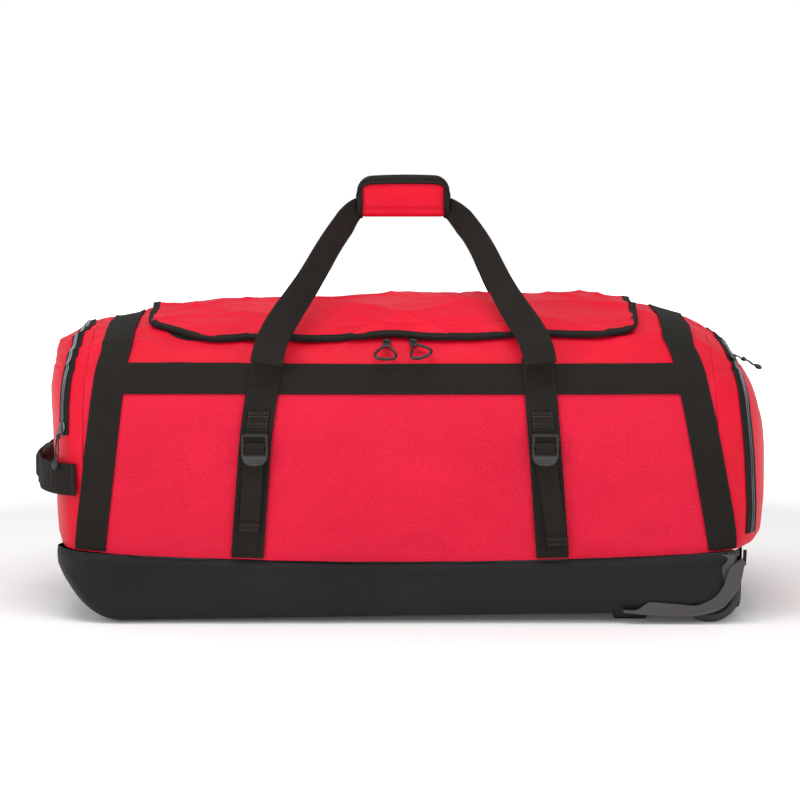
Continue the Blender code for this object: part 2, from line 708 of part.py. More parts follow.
for sign, tag in ((-1.0, "left"), (1.0, "right")):
    x = sign * SLIDER_X
    a = at_depth(x, SLIDER_Y)
    at = off(x, a, 0.0016)
    up = normal(x, a)
    down = np.cross(up, np.array([1.0, 0.0, 0.0]))
    down = down if down[2] < 0 else -down
    down /= np.linalg.norm(down)
    right = np.cross(down, up)
    shape = (0.0040, -0.0045), (0.0052, 0.0), (0.0042, 0.0040)
    body_rows = [[right * w * s + down * d for s in (-1.0, 0.0, 1.0)] for w, d in shape]
    arrow("zip_slider_" + tag, body_rows, at, up * 0.0035, "black_plastic")
    root = at + up * 0.0040 + down * 0.0010
    # teardrop loop with an open middle, hanging down the slope
    ring = []
    hole = []
    for t in np.linspace(0.0, 2.0 * np.pi, 21)[:-1]:
        w = 0.0145 * np.sin(t) * (0.62 - 0.38 * np.cos(t))
        d = 0.0165 * (1.0 - np.cos(t))
        ring.append(root + right * w + down * d)
        hole.append(root + right * w * 0.72 + down * (0.0165 + (d - 0.0165) * 0.80 + 0.0012))
    rows = np.array([[ring[k], hole[k]] for k in range(20)])
    verts = []
    for push in (0.0, 0.0026):
        for k in range(20):
            verts.append(tuple(rows[k][0] + up * push))
            verts.append(tuple(rows[k][1] + up * push))
    faces = []
    for k in range(20):
        n = (k + 1) % 20
        a0, b0, a1, b1 = 2 * k, 2 * k + 1, 2 * n, 2 * n + 1
        faces.append((a0, b0, b1, a1))
        faces.append((40 + a0, 40 + a1, 40 + b1, 40 + b0))
        faces.append((a0, a1, 40 + a1, 40 + a0))
        faces.append((b0, 40 + b0, 40 + b1, b1))
    add("zip_pull_" + tag, verts, faces, "black_plastic", tuple(root))

# ---- pocket zips -----------------------------------------------------------


def pocket_zip_x(sign, a):
    b = a if a <= 1.0 else 2.0 - a
    if sign < 0:
        return -(0.3880 + 0.0150 * max(1.0 - b / 0.95, 0.0) ** 0.7)
    return 0.3920 + 0.0330 * max(1.0 - b / 0.95, 0.0) ** 0.7


ZIP_LOW = {-1.0: 0.36, 1.0: 0.05}
for sign, tag in ((-1.0, "left"), (1.0, "right")):
    path = [(pocket_zip_x(sign, a), a) for a in np.linspace(ZIP_LOW[sign], 2.0 - ZIP_LOW[sign], 37)]
    skin_strip("pocket_zip_" + tag, path, 0.0160, LAYER_1 + 0.0002, "zip_tape", 2)

POCKET_SLIDER_A = {-1.0: 0.385, 1.0: 0.70}
PULL_LIFT = 0.0006
PULL_THICK = 0.0024
for sign, tag in ((-1.0, "left"), (1.0, "right")):
    a = POCKET_SLIDER_A[sign]
    x = pocket_zip_x(sign, a)
    at = off(x, a, 0.0034)
    up = normal(x, a)
    along = skin(pocket_zip_x(sign, a - 0.02), a - 0.02) - skin(x, a)
    along -= up * np.dot(along, up)
    along /= np.linalg.norm(along)
    wide = np.cross(along, up)
    shape = (0.0036, -0.0055), (0.0050, 0.0), (0.0040, 0.0050)
    rows = [[wide * w * s + along * d for s in (-1.0, 0.0, 1.0)] for w, d in shape]
    arrow("pocket_slider_" + tag, rows, at, up * 0.0032, "gunmetal")
    root = at + up * 0.0037
    if sign < 0:
        hang = np.array([-0.10, -0.14, -1.0])
    else:
        hang = np.array([0.80, -0.45, -0.42])
    hang /= np.linalg.norm(hang)
    out = up - hang * np.dot(up, hang)
    out /= np.linalg.norm(out)
    wide = np.cross(hang, out)
    lengths = np.array([0.0, 0.010, 0.018, 0.030, 0.042, 0.050]) * (1.0 if sign < 0 else 0.80)
    halves = (0.0020, 0.0022, 0.0012, 0.0014, 0.0046, 0.0030)
    low = []
    high = []
    for d, w in zip(lengths, halves):
        pair = [root + hang * d + wide * w * s for s in (-1.0, 1.0)]
        low.append([p + out * PULL_LIFT for p in pair])
        high.append([p + out * (PULL_LIFT + PULL_THICK) for p in pair])
    slab("pocket_pull_" + tag, low, high, "black_plastic", tuple(root))

# ---- carry handle ----------------------------------------------------------

wrap_mid = (WRAP_Z[0] + WRAP_Z[1]) / 2 - 0.003


# centre (x, distance from the middle plane, z) and direction of the width, root to wrap
RIGHT_LEG = (
    (0.1635, 0.2050, 0.3105, (1.0, 0.0, 0.0)),
    (0.1601, 0.1990, 0.3250, (0.97, -0.16, 0.17)),
    (0.1514, 0.1850, 0.3450, (0.90, -0.34, 0.26)),
    (0.1335, 0.1540, 0.3750, (0.78, -0.46, 0.36)),
    (0.1155, 0.1180, 0.4080, (0.70, -0.52, 0.42)),
    (0.0990, 0.0830, 0.4380, (0.60, -0.50, 0.52)),
    (0.0825, 0.0480, 0.4660, (0.40, -0.34, 0.75)),
    (0.0735, 0.0235, 0.4900, (0.15, -0.08, 0.95)),
    (0.0680, 0.0100, 0.4962, (0.0, 0.0, 1.0)),
    (0.0620, 0.0055, wrap_mid, (0.0, 0.0, 1.0)),
    (0.0300, 0.0055, wrap_mid, (0.0, 0.0, 1.0)),
)
LEFT_LEG = (
    (0.1557, 0.2050, 0.3105, (1.0, 0.0, 0.0)),
    (0.1519, 0.1990, 0.3250, (0.97, -0.16, 0.17)),
    (0.1442, 0.1850, 0.3450, (0.90, -0.34, 0.26)),
    (0.1276, 0.1540, 0.3750, (0.78, -0.46, 0.36)),
    (0.1060, 0.1180, 0.4080, (0.70, -0.52, 0.42)),
    (0.0870, 0.0830, 0.4380, (0.60, -0.50, 0.52)),
    (0.0705, 0.0480, 0.4660, (0.40, -0.34, 0.75)),
    (0.0645, 0.0235, 0.4900, (0.15, -0.08, 0.95)),
    (0.0598, 0.0100, 0.4962, (0.0, 0.0, 1.0)),
    (0.0540, 0.0055, wrap_mid, (0.0, 0.0, 1.0)),
    (0.0300, 0.0055, wrap_mid, (0.0, 0.0, 1.0)),
)


def carry(side):
    """One loop: up and inwards from both roots, turning on edge where the wrap holds it."""
    centres = []
    widths = []
    for x, y, z, w in LEFT_LEG:
        centres.append((-x, side * y, z))
        widths.append((-w[0], side * -w[1], w[2]))
    for x, y, z, w in reversed(RIGHT_LEG):
        centres.append((x, side * y, z))
        widths.append((w[0], side * -w[1], w[2]))
    fixed = []
    for i, w in enumerate(widths):
        w = np.array(w)
        if fixed and np.dot(w, fixed[-1]) < 0:
            w = -w
        fixed.append(w)
    pivot = (0.0, side * 0.2045, 0.3100)
    ribbon("handle_" + side_name(side), centres, fixed, WEB_WIDE, 0.0018, "webbing", pivot)
    y_in = 0.0004
    y_out = 0.0190
    slot = (0.0078, wrap_mid - 0.0200, wrap_mid + 0.0200)
    shape = [(y_in, WRAP_Z[0]), (y_out - 0.006, WRAP_Z[0]), (y_out, WRAP_Z[0] + 0.008)]
    shape += [(y_out, WRAP_Z[1] - 0.010), (y_out - 0.007, WRAP_Z[1]), (y_in, WRAP_Z[1])]
    shape += [(y_in, slot[2]), (slot[0], slot[2]), (slot[0], slot[1]), (y_in, slot[1])]
    shape = [(side * y, z) for y, z in shape]
    prism("wrap_" + side_name(side), shape, "x", WRAP_X[0], WRAP_X[1], "red_cloth", pivot)


for side in (-1.0, 1.0):
    carry(side)

# ---- haul handle -----------------------------------------------------------


def haul_plan():
    """Plan line of the webbing: hugs the pocket's corners, stands off its end."""
    half = []
    for x in (0.3800, 0.3920, 0.4040, 0.4150, 0.4240):
        a = at_height(-x, HAUL_Z, -1.0)
        p = off(-x, a, 0.0042 + 0.10 * (x - 0.38))
        half.append((p[0], p[1]))
    half += [(-0.4385, -0.0800), (-0.4430, -0.0620)]
    return half + [(-0.4430, 0.0)] + [(x, -y) for x, y in reversed(half)]


plan = haul_plan()
ribbon(
    "haul_strap",
    [(x, y, HAUL_Z) for x, y in plan],
    [(0.0, 0.0, 1.0)] * len(plan),
    WEB_WIDE,
    0.0016,
    "webbing",
    (-0.4430, 0.0, HAUL_Z),
)
GRIP_X = (-0.4522, -0.4338)
GRIP_HALF_HEIGHT = 0.0210
GRIP_HALF_LENGTH = 0.0560
grip = rounded(*GRIP_X, HAUL_Z - GRIP_HALF_HEIGHT, HAUL_Z + GRIP_HALF_HEIGHT, 0.0070, 3)
grip_at = (-0.4430, 0.0, HAUL_Z)
sleeve = prism("haul_grip", grip, "y", -GRIP_HALF_LENGTH, GRIP_HALF_LENGTH, "black_plastic", grip_at)
low = (-0.4443, -0.08, HAUL_Z - 0.0195)
cut(sleeve, box("sleeve_room", low, (-0.4417, 0.08, HAUL_Z + 0.0195), "black_plastic"))
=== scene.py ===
import math

import bmesh
import bpy
import numpy as np
from mathutils import Matrix, Vector


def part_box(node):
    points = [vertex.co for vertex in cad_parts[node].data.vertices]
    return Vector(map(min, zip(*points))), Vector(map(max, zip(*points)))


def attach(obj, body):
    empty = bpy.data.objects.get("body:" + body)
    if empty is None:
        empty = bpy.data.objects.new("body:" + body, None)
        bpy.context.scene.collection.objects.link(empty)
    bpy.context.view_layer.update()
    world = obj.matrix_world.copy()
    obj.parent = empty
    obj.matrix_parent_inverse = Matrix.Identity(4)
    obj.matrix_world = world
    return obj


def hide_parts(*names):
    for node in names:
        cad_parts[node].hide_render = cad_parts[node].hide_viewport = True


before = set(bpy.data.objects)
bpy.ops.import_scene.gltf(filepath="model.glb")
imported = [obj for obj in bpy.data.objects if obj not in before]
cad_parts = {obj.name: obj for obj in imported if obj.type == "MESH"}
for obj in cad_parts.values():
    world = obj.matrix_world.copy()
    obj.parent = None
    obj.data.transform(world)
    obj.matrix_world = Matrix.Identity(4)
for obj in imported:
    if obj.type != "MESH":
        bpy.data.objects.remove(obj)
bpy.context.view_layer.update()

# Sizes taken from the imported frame, metres


def boxOf(node):
    low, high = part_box(node)
    return np.array(low, float), np.array(high, float)


bodyLow, bodyHigh = boxOf("body_shell")
depthSides = ((-1.0, "Front"), (1.0, "Back"))
endSides = ((-1.0, "Left"), (1.0, "Right"))
leftTip = boxOf("pocket_left")[0][0]
rightTip = boxOf("pocket_right")[1][0]
trayLow, trayHigh = boxOf("base_tray")

bag = {
    "leftRound": -leftTip + 0.0045,    # where the plan curve closes
    "rightRound": rightTip + 0.0050,
    "planPower": 16.0,
    "halfDepth": bodyHigh[1] + 0.0004,
    "crownRise": 0.3030,
    "crownTilt": 0.0250,
    "seamHeight": bodyLow[2],
    "seamBow": 0.0140,
    "seamReach": 0.4300,
    "sectionPower": 6.0,
    "belly": 0.030,
    "sideShare": 0.75,
    "puff": 0.0030,                    # how far the cloth swells between the webbing
    "pinch": 0.0016,                   # how deep the webbing pulls in
    "crease": 0.0021,
}


def seamZ(x):
    return bag["seamHeight"] + bag["seamBow"] * (x / bag["seamReach"]) ** 2


def crownZ(x):
    left = 0.20 * np.exp(-np.maximum(x + bag["leftRound"], 0.0) / 0.110)
    right = 0.56 * np.exp(-((np.maximum(bag["rightRound"] - 0.003 - x, 0.0) / 0.062) ** 0.75))
    return seamZ(x) + (bag["crownRise"] + bag["crownTilt"] * x) * (1.0 - left) * (1.0 - right)


def halfDepth(x):
    reach = np.where(x > 0, bag["rightRound"], bag["leftRound"])
    share = np.minimum(np.abs(x) / reach, 0.9999)
    return bag["halfDepth"] * np.sqrt(1.0 - share ** bag["planPower"]) * (1.0 - 0.02 * share ** 2)


def outline(v):
    belly = 1.0 - bag["belly"] * np.maximum(1.0 - v / 0.5, 0.0) ** 2
    return belly * np.sqrt(np.maximum(1.0 - v ** bag["sectionPower"], 0.0))


edgeShare = float(outline(np.array(bag["sideShare"])))


# the smooth body: a runs 0 at the front seam, 1 on the crown, 2 at the back seam
def rawSkin(x, a):
    x, a = np.broadcast_arrays(np.asarray(x, float), np.asarray(a, float))
    side = np.where(a <= 1.0, -1.0, 1.0)
    b = np.clip(np.where(a <= 1.0, a, 2.0 - a), 0.0, 1.0)
    vSide = b / 0.5 * bag["sideShare"]
    f = edgeShare * (1.0 - (b - 0.5) / 0.5)
    vTop = (1.0 - np.clip(f, 0.0, 1.0) ** 2) ** (1.0 / bag["sectionPower"])
    v = np.where(b < 0.5, vSide, vTop)
    y = halfDepth(x) * np.where(b < 0.5, outline(np.minimum(vSide, 1.0)), f)
    return np.stack([x, side * y, seamZ(x) + v * (crownZ(x) - seamZ(x))], -1)


def unit(v):
    return v / np.maximum(np.linalg.norm(v, axis=-1, keepdims=True), 1e-12)


def rawNormal(x, a):
    x, a = np.broadcast_arrays(np.asarray(x, float), np.asarray(a, float))
    e = 0.0008
    alongX = rawSkin(np.minimum(x + e, rightTip), a) - rawSkin(np.maximum(x - e, leftTip), a)
    alongA = rawSkin(x, np.minimum(a + 0.006, 2.0)) - rawSkin(x, np.maximum(a - 0.006, 0.0))
    n = unit(np.cross(alongX, alongA))
    away = rawSkin(x, a) - np.stack([x * 0.9, x * 0.0, x * 0.0 + 0.20], -1)
    return n * np.where(np.sum(n * away, -1, keepdims=True) > 0, 1.0, -1.0)


def aAtHeight(x, z, side=-1.0):
    x, z = np.broadcast_arrays(np.asarray(x, float), np.asarray(z, float))
    v = np.clip((z - seamZ(x)) / (crownZ(x) - seamZ(x)), 0.0, 1.0)
    low = 0.5 * v / bag["sideShare"]
    high = 0.5 + 0.5 * (1.0 - np.sqrt(np.maximum(1.0 - v ** bag["sectionPower"], 0.0)) / edgeShare)
    b = np.where(v < bag["sideShare"], low, high)
    return b if side < 0 else 2.0 - b


def aAtDepth(x, y):
    x, y = np.broadcast_arrays(np.asarray(x, float), np.asarray(y, float))
    b = 0.5 + 0.5 * (1.0 - np.abs(y) / halfDepth(x) / edgeShare)
    return np.where(y < 0, b, 2.0 - b)


# Repeatable noise
def hashGrid(i, j):
    return np.modf(np.abs(np.sin(i * 127.1 + j * 311.7 + 0.37) * 43758.5453))[0]


# smooth values 0 to 1
def noise(u, v):
    i = np.floor(u)
    j = np.floor(v)
    s = u - i
    t = v - j
    s = s * s * s * (s * (s * 6 - 15) + 10)
    t = t * t * t * (t * (t * 6 - 15) + 10)
    low = hashGrid(i, j) * (1 - s) + hashGrid(i + 1, j) * s
    high = hashGrid(i, j + 1) * (1 - s) + hashGrid(i + 1, j + 1) * s
    return low * (1 - t) + high * t


def billow(u, v, octaves=3):
    total = 0.0
    size = 1.0
    for k in range(octaves):
        total = total + size * (noise(u * 2 ** k + 17.3 * k, v * 2 ** k + 5.1 * k) - 0.5)
        size *= 0.5
    return total


# thin ridges where the noise crosses its middle
def creases(u, v, sharp=3.0):
    return (1.0 - np.abs(2.0 * noise(u, v) - 1.0)) ** sharp


# Webbing layout on the body
bandLow, bandHigh = boxOf("band_front")
bandZ = (bandLow[2] + bandHigh[2]) / 2 - 0.0010
web = {"wide": 0.0380, "band": 0.0350, "narrow": 0.0250, "thick": 0.0015}


hoops = {"top": {-1.0: 0.3375, 1.0: 0.3320}, "lean": {-1.0: 0.0295, 1.0: 0.0520},
         "curve": {-1.0: 1.10, 1.0: 0.90}}


def hoopX(sign, a):
    b = np.where(a <= 1.0, a, 2.0 - a)
    return sign * (hoops["top"][sign] + hoops["lean"][sign] * np.maximum(1.0 - b / 0.62,
        0.0) ** hoops["curve"][sign])


def strapX(sign, z):
    turn = 0.0063 * np.maximum((z - 0.2140) / 0.0955, 0.0) ** 1.5 if sign < 0 else 0.0
    return sign * (0.180 - 0.018 * (z - 0.078) / 0.232 - turn)


# how far the cloth stands off the smooth body: swelling, pinches at the webbing, creases
def puff(x, a):
    p = rawSkin(x, a)
    z = p[..., 2]
    b = np.where(a <= 1.0, a, 2.0 - a)
    onSide = np.clip((0.62 - b) / 0.10, 0.0, 1.0)
    share = np.clip((z - seamZ(x)) / np.maximum(bandLow[2] - seamZ(x), 0.01), 0.0, 1.0)
    hoop = np.abs(np.abs(x) - np.where(x < 0, -hoopX(-1.0, a), hoopX(1.0, a))) - web["wide"] / 2
    strapAt = np.where(x < 0, -strapX(-1.0, z), strapX(1.0, z))
    strap = np.abs(np.abs(x) - strapAt) - web["wide"] / 2
    band = np.abs(z - bandZ) - web["wide"] / 2
    between = np.clip(np.minimum(np.maximum(hoop, 0.0), np.maximum(strap, 0.0) + 0.012) / 0.07, 0.0, 1.0)
    swell = bag["puff"] * np.sin(np.pi * share) ** 0.7 * between * onSide * (np.abs(x) < 0.36)
    inside = lambda d, soft: 1.0 / (1.0 + np.exp(np.clip(d / soft, -30, 30)))
    pinch = np.maximum(inside(hoop, 0.0030), inside(strap, 0.0025) * onSide * (z < bandZ + 0.02))
    pinch = np.maximum(pinch, 0.8 * inside(band, 0.0030) * onSide * (np.abs(x) < 0.335))
    seam = np.exp(-((z - seamZ(x)) / 0.006) ** 2)
    along = a * 0.62
    big = billow(x * 9.0 + 3.1, along * 11.0 + 1.7, 3)
    slope = creases((x + along * 0.7) * 11.0, (along - x * 0.25) * 5.0, 4.0)
    crossing = creases((x - along * 0.9) * 9.0 + 8.0, (along + x * 0.3) * 6.0 + 4.0, 5.0)
    panel = creases((x * 0.8 + along * 0.9) * 8.0 + 2.0, (along * 0.8 - x * 0.6) * 4.0 + 6.0, 5.0)
    top = np.clip((b - 0.52) / 0.12, 0.0, 1.0)
    ends = np.clip((np.abs(x) - 0.385) / 0.02, 0.0, 1.0)
    folds = (slope + crossing - 0.75) * (0.45 + 1.3 * top + 0.7 * ends)
    wrinkle = bag["crease"] * (1.8 * big + folds + 0.6 * (panel - 0.3))
    gusset = 0.0016 * np.exp(-((z - 0.300) / 0.0018) ** 2) * (np.abs(x) > 0.372)
    calm = 1.0 - 0.80 * np.clip((np.abs(x) - 0.392) / 0.020, 0.0, 1.0)
    return swell - bag["pinch"] * pinch - 0.0020 * seam - gusset + wrinkle * (1.0
        - 0.85 * pinch) * calm - 0.0012 * top


endHeights = [0.075, 0.100, 0.140, 0.200, 0.270, 0.340]
endShift = {"left": [-0.0150, -0.0130, -0.0115, -0.0090, -0.0060, -0.0090],
            "right": [-0.0170, -0.0080, -0.0040, -0.0035, -0.0040, -0.0060]}


# the end faces lean: fuller at the shoulder, drawn in at the base
def leaned(p):
    x = p[..., 0]
    z = p[..., 2]
    out = np.where(x < 0, np.interp(z, endHeights, endShift["left"]),
                   np.interp(z, endHeights, endShift["right"]))
    t = np.clip((np.abs(x) - 0.385) / 0.045, 0.0, 1.0)
    p[..., 0] = x + np.sign(x) * out * t * t * (3 - 2 * t)
    return p


def skin(x, a, lift=0.0):
    n = rawNormal(x, a)
    return leaned(rawSkin(x, a) + n * (puff(x, a) + lift)[..., None])


# a point on the front or back at height z
def sideSkin(x, z, side, lift):
    return skin(x, aAtHeight(x, z, side), lift)


# Mesh helpers
# sRGB hex to the linear values a shader takes
def linear(hexColour):
    channels = [int(hexColour[k:k + 2], 16) / 255 for k in (1, 3, 5)]
    return tuple(c / 12.92 if c <= 0.04045 else ((c + 0.055) / 1.055) ** 2.4 for c in channels) + (1.0,)


def meshObject(name, verts, faces, material, uv=None, smooth=True):
    mesh = bpy.data.meshes.new(name)
    mesh.from_pydata([tuple(map(float, v)) for v in verts], [], [tuple(map(int, f)) for f in faces])
    mesh.materials.append(material)
    if uv is not None:
        layer = mesh.uv_layers.new(name="metres")
        order = np.empty(len(mesh.loops), np.int32)
        mesh.loops.foreach_get("vertex_index", order)
        layer.data.foreach_set("uv", np.asarray(uv, np.float32)[order].ravel())
    work = bmesh.new()
    work.from_mesh(mesh)
    bmesh.ops.recalc_face_normals(work, faces=work.faces)
    work.to_mesh(mesh)
    work.free()
    mesh.polygons.foreach_set("use_smooth", [smooth] * len(mesh.polygons))
    obj = bpy.data.objects.new(name, mesh)
    bpy.context.scene.collection.objects.link(obj)
    return obj


def gridFaces(rows, cols, start=0, wrap=False):
    faces = []
    for i in range(rows - 1):
        for j in range(cols if wrap else cols - 1):
            k = (j + 1) % cols
            faces.append((start + i * cols + j, start + i * cols + k, start + (i + 1) * cols + k,
                          start + (i + 1) * cols + j))
    return faces


# a tube through rows of points; each row is one closed loop of the profile
def sweep(name, points, uv, material, caps=True, closedRows=False):
    points = np.asarray(points)
    rows, cols = points.shape[:2]
    faces = gridFaces(rows, cols, 0, True)
    if closedRows:
        faces += [((rows - 1) * cols + j, (rows - 1) * cols + (j + 1) % cols, (j + 1) % cols, j)
                  for j in range(cols)]
    elif caps:
        faces += [tuple(range(cols)), tuple((rows - 1) * cols + j for j in range(cols))]
    return meshObject(name, points.reshape(-1, 3), faces, material, np.asarray(uv).reshape(-1, 2))


def finishPiece(obj, body, slot, *nodes):
    if nodes:
        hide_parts(*nodes)
    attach(obj, body)
    return obj


# the object with its modifiers made real
def frozen(obj):
    graph = bpy.context.evaluated_depsgraph_get()
    graph.update()
    mesh = bpy.data.meshes.new_from_object(obj.evaluated_get(graph))
    obj.modifiers.clear()
    obj.data = mesh
    return obj


def withModifier(obj, kind, **settings):
    step = obj.modifiers.new(kind, kind)
    for key, value in settings.items():
        setattr(step, key, value)
    return obj


def pointsOf(mesh):
    co = np.empty(len(mesh.vertices) * 3, np.float32)
    mesh.vertices.foreach_get("co", co)
    return co.reshape(-1, 3).astype(float)


# the object with its points moved by a function
def reshaped(obj, move):
    moved = move(pointsOf(obj.data))
    obj.data.vertices.foreach_set("co", moved.astype(np.float32).ravel())
    obj.data.update()
    return obj


def smoothShaded(obj):
    obj.data.polygons.foreach_set("use_smooth", [True] * len(obj.data.polygons))
    return obj


def fullTurn(count):
    return np.linspace(0, 2 * np.pi, count, endpoint=False)


def lengthsAlong(points):
    return np.concatenate([[0.0], np.cumsum(np.linalg.norm(np.diff(points, axis=0), axis=1))])


# flat webbing: (across, through), rolled edges
tapeProfile = np.array(
    [(-1.0, 0.0), (-0.985, -0.36), (-0.93, -0.5), (-0.62, -0.5), (-0.31, -0.5), (0.0, -0.5), (0.31, -0.5),
     (0.62, -0.5), (0.93, -0.5),
     (0.985, -0.36), (1.0, 0.0), (0.985, 0.36), (0.93, 0.5), (0.62, 0.5), (0.31, 0.5), (0.0, 0.5), (-0.31,
         0.5), (-0.62, 0.5),
     (-0.93, 0.5), (-0.985, 0.36)])


def tapeUv(lengths, width):
    s = tapeProfile[:, 0] * width / 2
    u = np.where(tapeProfile[:, 1] < -0.1, s + width * 1.5, s)
    return np.stack(np.broadcast_arrays(u[None, :], np.asarray(lengths)[:, None]), -1)


# webbing lying on the cloth; half widths are steps in x and in a
def skinTape(name, xs, aas, halfX, halfA, width, lift, thick, material):
    s = tapeProfile[:, 0][None, :]
    h = tapeProfile[:, 1][None, :]
    xs = np.asarray(xs, float)[:, None]
    aas = np.asarray(aas, float)[:, None]
    halfX = np.asarray(halfX, float).reshape(-1, 1)
    halfA = np.asarray(halfA, float).reshape(-1, 1)
    lift = np.asarray(lift, float).reshape(-1, 1)
    points = skin(xs + s * halfX, aas + s * halfA, lift + (h + 0.5) * thick)
    centre = skin(xs[:, 0], aas[:, 0], lift[:, 0] if lift.size > 1 else float(lift[0, 0]))
    return sweep(name, points, tapeUv(lengthsAlong(centre), width), material)


# webbing in the open; wides are the directions of its width
def freeTape(name, centres, wides, width, thick, material):
    centres = np.asarray(centres, float)
    along = unit(np.gradient(centres, axis=0))
    wides = np.asarray(wides, float)
    wides = unit(wides - along * np.sum(wides * along, -1, keepdims=True))
    normals = np.cross(along, wides)
    width = np.broadcast_to(np.asarray(width, float), (len(centres),))
    s = tapeProfile[:, 0]
    h = tapeProfile[:, 1]
    points = (centres[:, None, :] + wides[:, None, :] * (s[None, :] * width[:, None] / 2)[..., None]
              + normals[:, None, :] * (h * thick)[None, :, None])
    return sweep(name, points, tapeUv(lengthsAlong(centres), float(width.max())), material)


# even samples of a smooth curve through the control rows
def spline(controls, count):
    controls = np.asarray(controls, float)
    n = len(controls)
    padded = np.vstack([2 * controls[0] - controls[1], controls, 2 * controls[-1] - controls[-2]])
    t = np.linspace(0, n - 1, count * 6)
    k = np.minimum(t.astype(int), n - 2)
    f = (t - k)[:, None]
    p0, p1, p2, p3 = (padded[k + m] for m in range(4))
    curve = 0.5 * (2 * p1 + (p2 - p0) * f + (2 * p0 - 5 * p1 + 4 * p2 - p3) * f ** 2
                   + (3 * p1 - p0 - 3 * p2 + p3) * f ** 3)
    lengths = lengthsAlong(curve[:, :3])
    even = np.linspace(0, lengths[-1], count)
    return np.stack([np.interp(even, lengths, curve[:, c]) for c in range(curve.shape[1])], -1)


# a cord or wire of round section along a path
def roundTube(name, path, radius, material, sides=10, closed=False, flat=1.0):
    path = np.asarray(path, float)
    if closed:
        along = unit(np.roll(path, -1, 0) - np.roll(path, 1, 0))
    else:
        along = unit(np.gradient(path, axis=0))
    ref = np.array([0.0, 0.0, 1.0]) if abs(along[:, 2]).mean() < 0.8 else np.array([0.0, 1.0, 0.0])
    sideways = unit(np.cross(along, ref))
    for k in range(1, len(sideways)):
        v = sideways[k - 1] - along[k] * np.dot(sideways[k - 1], along[k])
        sideways[k] = v / max(np.linalg.norm(v), 1e-9)
    upward = np.cross(along, sideways)
    t = fullTurn(sides)
    radius = np.broadcast_to(np.asarray(radius, float), (len(path),))
    points = (path[:, None] + sideways[:, None] * (np.cos(t)[None, :] * radius[:, None])[..., None]
              + upward[:, None] * (np.sin(t)[None, :] * radius[:, None] * flat)[..., None])
    uv = np.stack(np.broadcast_arrays(t[None, :] * radius.max(), lengthsAlong(path)[:, None]), -1)
    return sweep(name, points, uv, material, closedRows=closed)


# several meshes as one piece
def joinPieces(name, parts):
    verts = []
    faces = []
    uvs = []
    materials = []
    slots = []
    for part in parts:
        mesh = part.data
        start = len(verts)
        verts += [tuple(v.co) for v in mesh.vertices]
        layer = mesh.uv_layers.active
        for poly in mesh.polygons:
            faces.append(tuple(start + k for k in poly.vertices))
            uvs += [tuple(layer.data[k].uv) if layer else (0.0, 0.0) for k in poly.loop_indices]
            m = mesh.materials[poly.material_index]
            if m not in materials:
                materials.append(m)
            slots.append(materials.index(m))
    smooth = [p.use_smooth for part in parts for p in part.data.polygons]
    made = bpy.data.meshes.new(name)
    made.from_pydata(verts, [], faces)
    for m in materials:
        made.materials.append(m)
    layer = made.uv_layers.new(name="metres")
    layer.data.foreach_set("uv", np.asarray(uvs, np.float32).ravel())
    made.polygons.foreach_set("material_index", slots)
    made.polygons.foreach_set("use_smooth", smooth)
    for part in parts:
        bpy.data.objects.remove(part, do_unlink=True)
    obj = bpy.data.objects.new(name, made)
    bpy.context.scene.collection.objects.link(obj)
    return obj


# Materials
def addNode(tree, kind, settings=None, links=None):
    node = tree.nodes.new(kind)
    for key, value in (settings or {}).items():
        if isinstance(key, int):
            node.inputs[key].default_value = value
        elif hasattr(node, key) and key not in node.inputs:
            setattr(node, key, value)
        else:
            node.inputs[key].default_value = value
    for key, socket in (links or {}).items():
        tree.links.new(socket, node.inputs[key])
    return node


def newMaterial(name, colour, roughness, **shaderValues):
    made = bpy.data.materials.new(name)
    made.use_nodes = True
    made.diffuse_color = linear(colour)
    shader = made.node_tree.nodes["Principled BSDF"]
    shader.inputs["Base Color"].default_value = linear(colour)
    shader.inputs["Roughness"].default_value = roughness
    for key, value in shaderValues.items():
        shader.inputs[key].default_value = value
    return made, made.node_tree, shader


# a sine of one coordinate with its pitch in metres
def wave(tree, coordinate, pitch):
    turn = addNode(tree, "ShaderNodeMath", {"operation": "MULTIPLY", 1: 2 * math.pi / pitch},
                   {0: coordinate})
    return addNode(tree, "ShaderNodeMath", {"operation": "SINE"}, {0: turn.outputs[0]}).outputs[0]


def combine(tree, operation, a, b):
    links = {0: a}
    settings = {"operation": operation}
    if isinstance(b, (int, float)):
        settings[1] = b
    else:
        links[1] = b
    return addNode(tree, "ShaderNodeMath", settings, links).outputs[0]


# base colour between two shades by a 0 to 1 factor
def tinted(tree, shader, factor, dark, light):
    mix = addNode(tree, "ShaderNodeMix", {"data_type": "RGBA"}, {})
    mix.inputs[6].default_value = linear(dark)
    mix.inputs[7].default_value = linear(light)
    tree.links.new(factor, mix.inputs[0])
    tree.links.new(mix.outputs[2], shader.inputs["Base Color"])
    return mix


def bumped(tree, shader, height, strength, distance):
    bump = addNode(tree, "ShaderNodeBump", {"Strength": strength, "Distance": distance}, {"Height": height})
    tree.links.new(bump.outputs[0], shader.inputs["Normal"])


